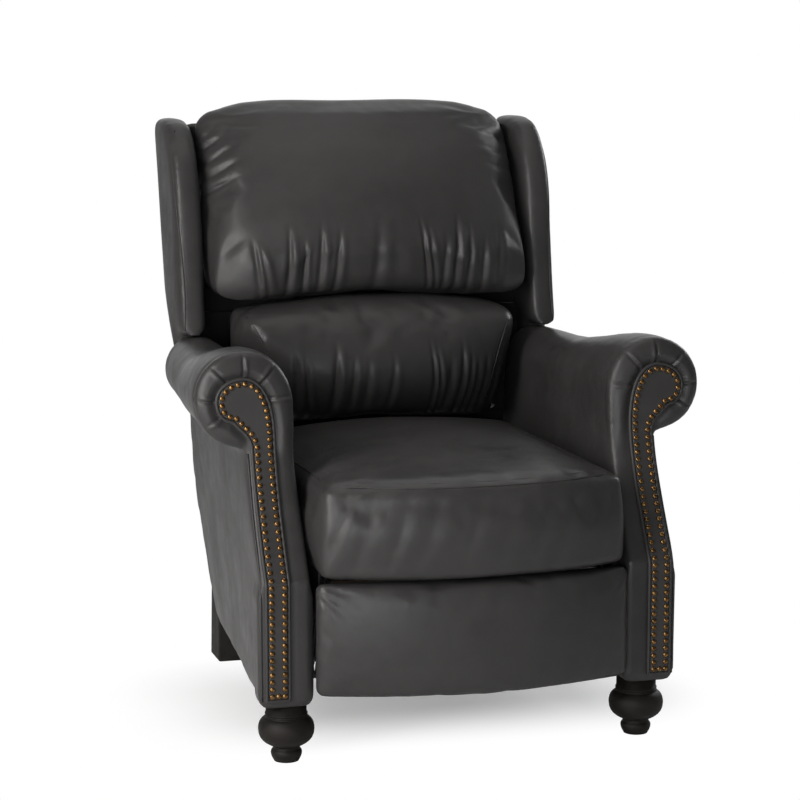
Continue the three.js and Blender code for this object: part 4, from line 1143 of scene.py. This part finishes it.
def front_feet(wood):
    bm = bmesh.new()
    corners = [bm.verts.new((FOOT_OFFSET + radius, FOOT_ROW, height)) for radius, height in foot_outline()]
    edges = [bm.edges.new(pair) for pair in zip(corners[:-1], corners[1:])]
    bmesh.ops.spin(
        bm, geom=corners + edges, cent=(FOOT_OFFSET, FOOT_ROW, 0.0), axis=(0.0, 0.0, 1.0),
        angle=2 * math.pi, steps=FOOT_SIDES, use_merge=True,
    )
    bmesh.ops.remove_doubles(bm, verts=bm.verts, dist=WELD)
    bmesh.ops.recalc_face_normals(bm, faces=bm.faces)
    return both_sides("turned_foot", from_bmesh("turned_foot_right", bm), "base", wood, ["front_foot"])


# Facings, welts and nails

def facings(leather):
    """The leather-covered boards on the fronts of the arms."""
    outline = pushed_out(nail_line(), FACING_MARGIN)
    bm = bmesh.new()
    rim = [bm.verts.new((x, 0.0, z)) for x, z in outline]
    face = bm.faces.new(rim)
    made = bmesh.ops.extrude_face_region(bm, geom=[face])
    front = [item for item in made["geom"] if isinstance(item, bmesh.types.BMVert)]
    bmesh.ops.translate(bm, verts=front, vec=(0.0, -FACING_THICKNESS, 0.0))
    raised = set(front)
    edges = [edge for edge in bm.edges if set(edge.verts) <= raised]
    bmesh.ops.bevel(
        bm, geom=edges, offset=FACING_SOFT, segments=3, profile=0.5, affect="EDGES", material=-1,
    )
    bmesh.ops.recalc_face_normals(bm, faces=bm.faces)
    low = min(point[1] for point in outline)
    high = max(point[1] for point in outline)
    for height in np.arange(low + FACING_STRIP, high, FACING_STRIP):
        everything = bm.verts[:] + bm.edges[:] + bm.faces[:]
        bmesh.ops.bisect_plane(bm, geom=everything, dist=WELD, plane_co=(0, 0, height), plane_no=(0, 0, 1))
    for place in np.arange(NAIL_INNER, NAIL_HEAD_OUTER, FACING_STRIP):
        everything = bm.verts[:] + bm.edges[:] + bm.faces[:]
        bmesh.ops.bisect_plane(bm, geom=everything, dist=WELD, plane_co=(place, 0, 0), plane_no=(1, 0, 0))
    piece = from_bmesh("facing_right", bm)
    points = points_of(piece)
    points[:, 1] += front_of_arm(points[:, 2])
    set_points(piece, points)
    return both_sides("facing", piece, "base", leather, ["arm_facing"])


def welts(leather):
    """The cord sewn round each facing."""
    line = pushed_out(nail_line(), FACING_MARGIN + WELT_RADIUS - WELT_SINK)
    corners = [tuple(point) for point in line]
    foot = [(x, line[0, 1]) for x in np.linspace(line[-1, 0], line[0, 0], 6)[1:-1]]
    loop = spaced([Vector(point) for point in corners + foot + [corners[0]]], 0.004)[:-1]
    places = [(x, front_of_arm(z) - WELT_STAND, z) for x, z in loop]
    piece = cord_along("facing_welt_right", places, WELT_RADIUS, closed=True)
    return both_sides("facing_welt", piece, "base", leather, ["arm_welt"])


def nails(brass):
    """A closed row of domed nails round each facing."""
    marks = [tuple(point) for point in spaced(nail_line(), NAIL_PITCH)]
    marks.append(((NAIL_INNER + NAIL_OUTER) / 2, NAIL_BOTTOM))
    generator = np.random.default_rng(23)
    bm = bmesh.new()
    for x, z in marks:
        slope = front_slope(z)
        facing = Vector((0.0, -1.0, slope)).normalized()
        tip = facing.to_track_quat("Z", "Y").to_matrix().to_4x4()
        wobble = generator.uniform(-1.0, 1.0, 2) * NAIL_WOBBLE
        place = Vector((x + wobble[0], front_of_arm(z) - FACING_THICKNESS, z + wobble[1]))
        size = Matrix.Diagonal((NAIL_RADIUS, NAIL_RADIUS, NAIL_RISE, 1.0))
        bmesh.ops.create_uvsphere(
            bm, u_segments=12, v_segments=7, radius=1.0, matrix=Matrix.Translation(place) @ tip @ size
        )
    piece = from_bmesh("facing_nails_right", bm)
    return both_sides("facing_nails", piece, "base", brass)


# Finishes

def leather_finish(name, dark, pale, roughness, crease_depth):
    """Smooth upholstery leather: a fine pebble, soft creases and faint mottling."""
    finish = Finish(name)
    place = finish.place()
    mottle = finish.noise(place, 7.0, 4.0, 0.55).between(0.35, 0.68)
    cloud = finish.noise(place, 38.0, 3.0, 0.5).between(0.3, 0.7)
    colour = finish.mixed(mottle * 0.65 + cloud * 0.35, dark, pale)
    sheen = roughness + (mottle - 0.5) * 0.08 + (cloud - 0.5) * 0.05
    pebble = finish.node("ShaderNodeTexVoronoi", {"feature": "F1"}, {"Vector": place, "Scale": 620.0})
    fine = finish.noise(place, 1300.0, 2.0)
    soft = finish.noise(place, 16.0, 3.0, 0.5)
    grain = finish.node(
        "ShaderNodeBump", None, {"Height": pebble * 0.7 + fine * 0.3, "Strength": 0.22, "Distance": 0.0004},
    )
    surface = finish.node(
        "ShaderNodeBump", None,
        {"Height": soft, "Strength": 1.0, "Distance": crease_depth, "Normal": grain},
    )
    return finish.surface({
        "Base Color": colour, "Roughness": sheen, "Normal": surface,
        "Specular IOR Level": LEATHER_SPECULAR, "IOR": 1.45,
    })


def wood_finish(name, dark, pale, roughness, stretch):
    """Wood with long rings along one direction."""
    finish = Finish(name)
    place = finish.place()
    along = finish.node("ShaderNodeMapping", None, {"Vector": place, "Scale": stretch})
    rings = finish.node(
        "ShaderNodeTexWave", {"wave_type": "RINGS", "rings_direction": "Z"},
        {"Vector": along, "Scale": 9.0, "Distortion": 6.0, "Detail": 3.0},
    )
    pores = finish.noise(along, 60.0, 4.0, 0.6)
    mask = rings * 0.5 + pores * 0.5
    colour = finish.mixed(mask, dark, pale)
    bump = finish.node("ShaderNodeBump", None, {"Height": pores, "Strength": 0.25, "Distance": 0.0004})
    return finish.surface({
        "Base Color": colour, "Roughness": roughness + (mask - 0.5) * 0.12, "Normal": bump,
        "Specular IOR Level": WOOD_SPECULAR,
    })


def metal_finish(name, dark, pale, roughness, metallic, scale):
    """Metal with a worn, slightly uneven face."""
    finish = Finish(name)
    place = finish.place()
    wear = finish.noise(place, scale, 4.0, 0.6).between(0.3, 0.75)
    colour = finish.mixed(wear, dark, pale)
    bump = finish.node(
        "ShaderNodeBump", None,
        {"Height": finish.noise(place, scale * 6.0, 2.0), "Strength": 0.12, "Distance": 0.0004},
    )
    return finish.surface({
        "Base Color": colour, "Roughness": roughness + (wear - 0.5) * 0.14, "Metallic": metallic, "Normal": bump,
    })


def paint_nodes(material, *names):
    """Gives CAD nodes a finish."""
    for name in names:
        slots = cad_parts[name].data.materials
        slots.clear()
        slots.append(material)


# Studio

def light(name, place, target, size, power, colour):
    lamp = bpy.data.lights.new(name, "AREA")
    lamp.shape = "RECTANGLE"
    lamp.size, lamp.size_y = size
    lamp.energy = power
    lamp.color = colour
    holder = bpy.data.objects.new(name, lamp)
    bpy.context.scene.collection.objects.link(holder)
    holder.location = place
    holder.rotation_euler = (Vector(target) - Vector(place)).to_track_quat("-Z", "Y").to_euler()


def studio():
    scene = bpy.context.scene
    scene.view_settings.view_transform = "Standard"
    for name, place, target, size, power, colour in LIGHTS:
        light(name, place, target, size, power, colour)

    world = bpy.data.worlds.new("studio_white")
    world.use_nodes = True
    scene.world = world
    sky = Finish.__new__(Finish)
    sky.material = world
    sky.tree = world.node_tree
    sky.tree.nodes.clear()
    seen = sees_background(sky, sky.node("ShaderNodeTexCoord", output="Generated"))
    glow = sky.node("ShaderNodeBackground", None, {"Color": (1.0, 1.0, 1.0, 1.0), "Strength": 1.0})
    fill = sky.node("ShaderNodeBackground", None, {"Color": WORLD_COLOUR, "Strength": WORLD_STRENGTH})
    both = sky.node("ShaderNodeMixShader", None, {0: seen, 1: fill, 2: glow})
    sky.node("ShaderNodeOutputWorld", None, {"Surface": both})

    bm = bmesh.new()
    bmesh.ops.create_grid(bm, x_segments=2, y_segments=2, size=FLOOR_SIZE)
    floor = from_bmesh("floor", bm)
    finish = Finish("floor_white")
    place = finish.place()
    mirrored_place = finish.node("ShaderNodeVectorMath", {"operation": "ABSOLUTE"}, {0: place})
    past = finish.node("ShaderNodeVectorMath", {"operation": "SUBTRACT"}, {0: mirrored_place, 1: FLOOR_SHADE})
    outside = finish.node("ShaderNodeVectorMath", {"operation": "MAXIMUM"}, {0: past, 1: (0.0, 0.0, 0.0)})
    far = finish.node("ShaderNodeVectorMath", {"operation": "LENGTH"}, {0: outside}, "Value")
    seen = sees_background(finish, place)
    edge = far.between(0.0, FLOOR_FADE) * seen
    matt = finish.node("ShaderNodeBsdfDiffuse", None, {"Color": FLOOR_COLOUR})
    lift = finish.node(
        "ShaderNodeEmission", None,
        {"Color": (1.0, 1.0, 1.0, 1.0), "Strength": seen * FLOOR_LIFT},
    )
    lit = finish.node("ShaderNodeAddShader", None, {0: matt, 1: lift})
    white = finish.node("ShaderNodeEmission", None, {"Color": (1.0, 1.0, 1.0, 1.0), "Strength": 1.0})
    shader = finish.node("ShaderNodeMixShader", None, {0: edge, 1: lit, 2: white})
    finish.node("ShaderNodeOutputMaterial", None, {"Surface": shader})
    floor.data.materials.append(finish.material)


def sees_background(finish, direction):
    """1 for rays from the camera, and for mirrored or bent rays towards the backdrop behind the chair."""
    camera = finish.node("ShaderNodeLightPath", output="Is Camera Ray")
    glossy = finish.node("ShaderNodeLightPath", output="Is Glossy Ray")
    through = finish.node("ShaderNodeLightPath", output="Is Transmission Ray")
    turn = math.radians(CAMERA_TURN)
    behind = (-math.sin(turn), math.cos(turn), 0.0)
    level = finish.node("ShaderNodeVectorMath", {"operation": "MULTIPLY"}, {0: direction, 1: (1.0, 1.0, 0.0)})
    aim = finish.node("ShaderNodeVectorMath", {"operation": "NORMALIZE"}, {0: level})
    along = finish.node("ShaderNodeVectorMath", {"operation": "DOT_PRODUCT"}, {0: aim, 1: behind}, "Value")
    backdrop = along.between(BACKDROP_EDGE, BACKDROP_FULL)
    return (camera + (glossy + through) * backdrop).between(0.0, 1.0)


def camera():
    data = bpy.data.cameras.new("photo_view")
    data.lens = CAMERA_LENS
    data.sensor_width = CAMERA_SENSOR
    holder = bpy.data.objects.new("photo_view", data)
    bpy.context.scene.collection.objects.link(holder)
    holder.location = CAMERA_PLACE
    holder.rotation_euler = (math.radians(CAMERA_TILT), 0.0, math.radians(CAMERA_TURN))
    bpy.context.scene.camera = holder


def main():
    camera()
    studio()
    leather = leather_finish("leather", LEATHER_DARK, LEATHER_PALE, LEATHER_ROUGHNESS, 0.0016)
    trim = leather_finish("trim_leather", TRIM_DARK, TRIM_PALE, TRIM_ROUGHNESS, 0.0002)
    # The near-black finish is painted shade, for the sheets and frame parts in the gaps round the cushions
    near_black_shade = leather_finish("painted_shade_black", SHADE_BLACK_DARK, SHADE_BLACK_PALE, 0.8, 0.0001)
    thread = leather_finish("waxed_thread", THREAD_DARK, THREAD_PALE, 0.55, 0.0001)
    brass = metal_finish("aged_brass", (0.085, 0.045, 0.016, 1.0), (0.30, 0.17, 0.065, 1.0), 0.28, 1.0, 260.0)
    turned = wood_finish(
        "dark_turned_wood", (0.0045, 0.0036, 0.0030, 1.0), (0.0135, 0.0108, 0.0090, 1.0), 0.58, (1.0, 1.0, 5.0),
    )
    frame_wood = wood_finish(
        "frame_wood", (0.030, 0.020, 0.013, 1.0), (0.075, 0.050, 0.032, 1.0), 0.6, (0.25, 1.0, 1.0),
    )
    steel = metal_finish("enamelled_steel", (0.018, 0.018, 0.019, 1.0), (0.040, 0.040, 0.042, 1.0), 0.52, 0.0, 45.0)
    wire = metal_finish("spring_steel", (0.18, 0.17, 0.16, 1.0), (0.36, 0.35, 0.33, 1.0), 0.35, 1.0, 90.0)

    head_cushion(leather)
    lumbar_seams(lumbar_cushion(leather), trim, thread)
    seat_seams(seat_cushion(leather), trim, thread)
    footrest_pad(leather)
    arm_seams(arms(leather)["right"], trim)
    wing_seams(wings(leather)["right"], trim, thread)
    outside_back(leather)
    gap_shade_sheets(near_black_shade)
    front_feet(turned)
    facings(trim)
    welts(trim)
    nails(brass)

    paint_nodes(turned, *[f"rear_leg_{side}" for side, _ in SIDES])
    paint_nodes(frame_wood, *[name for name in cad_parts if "rail" in name])
    # Painted shade: the back rails, stiles, front rails and footrest board take the near-black finish so that they
    # read as the shade in the gaps round the cushions and the footrest
    paint_nodes(near_black_shade, *[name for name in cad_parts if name.startswith("back_") and "rail" in name])
    paint_nodes(near_black_shade, *[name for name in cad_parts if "stile" in name])
    paint_nodes(near_black_shade, "seat_front_rail", "base_front_rail", "footrest_board")
    paint_nodes(steel, *[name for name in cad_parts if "plate" in name or "link" in name or "bracket" in name])
    paint_nodes(steel, "cross_tube")
    paint_nodes(wire, *[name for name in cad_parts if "spring" in name])


main()
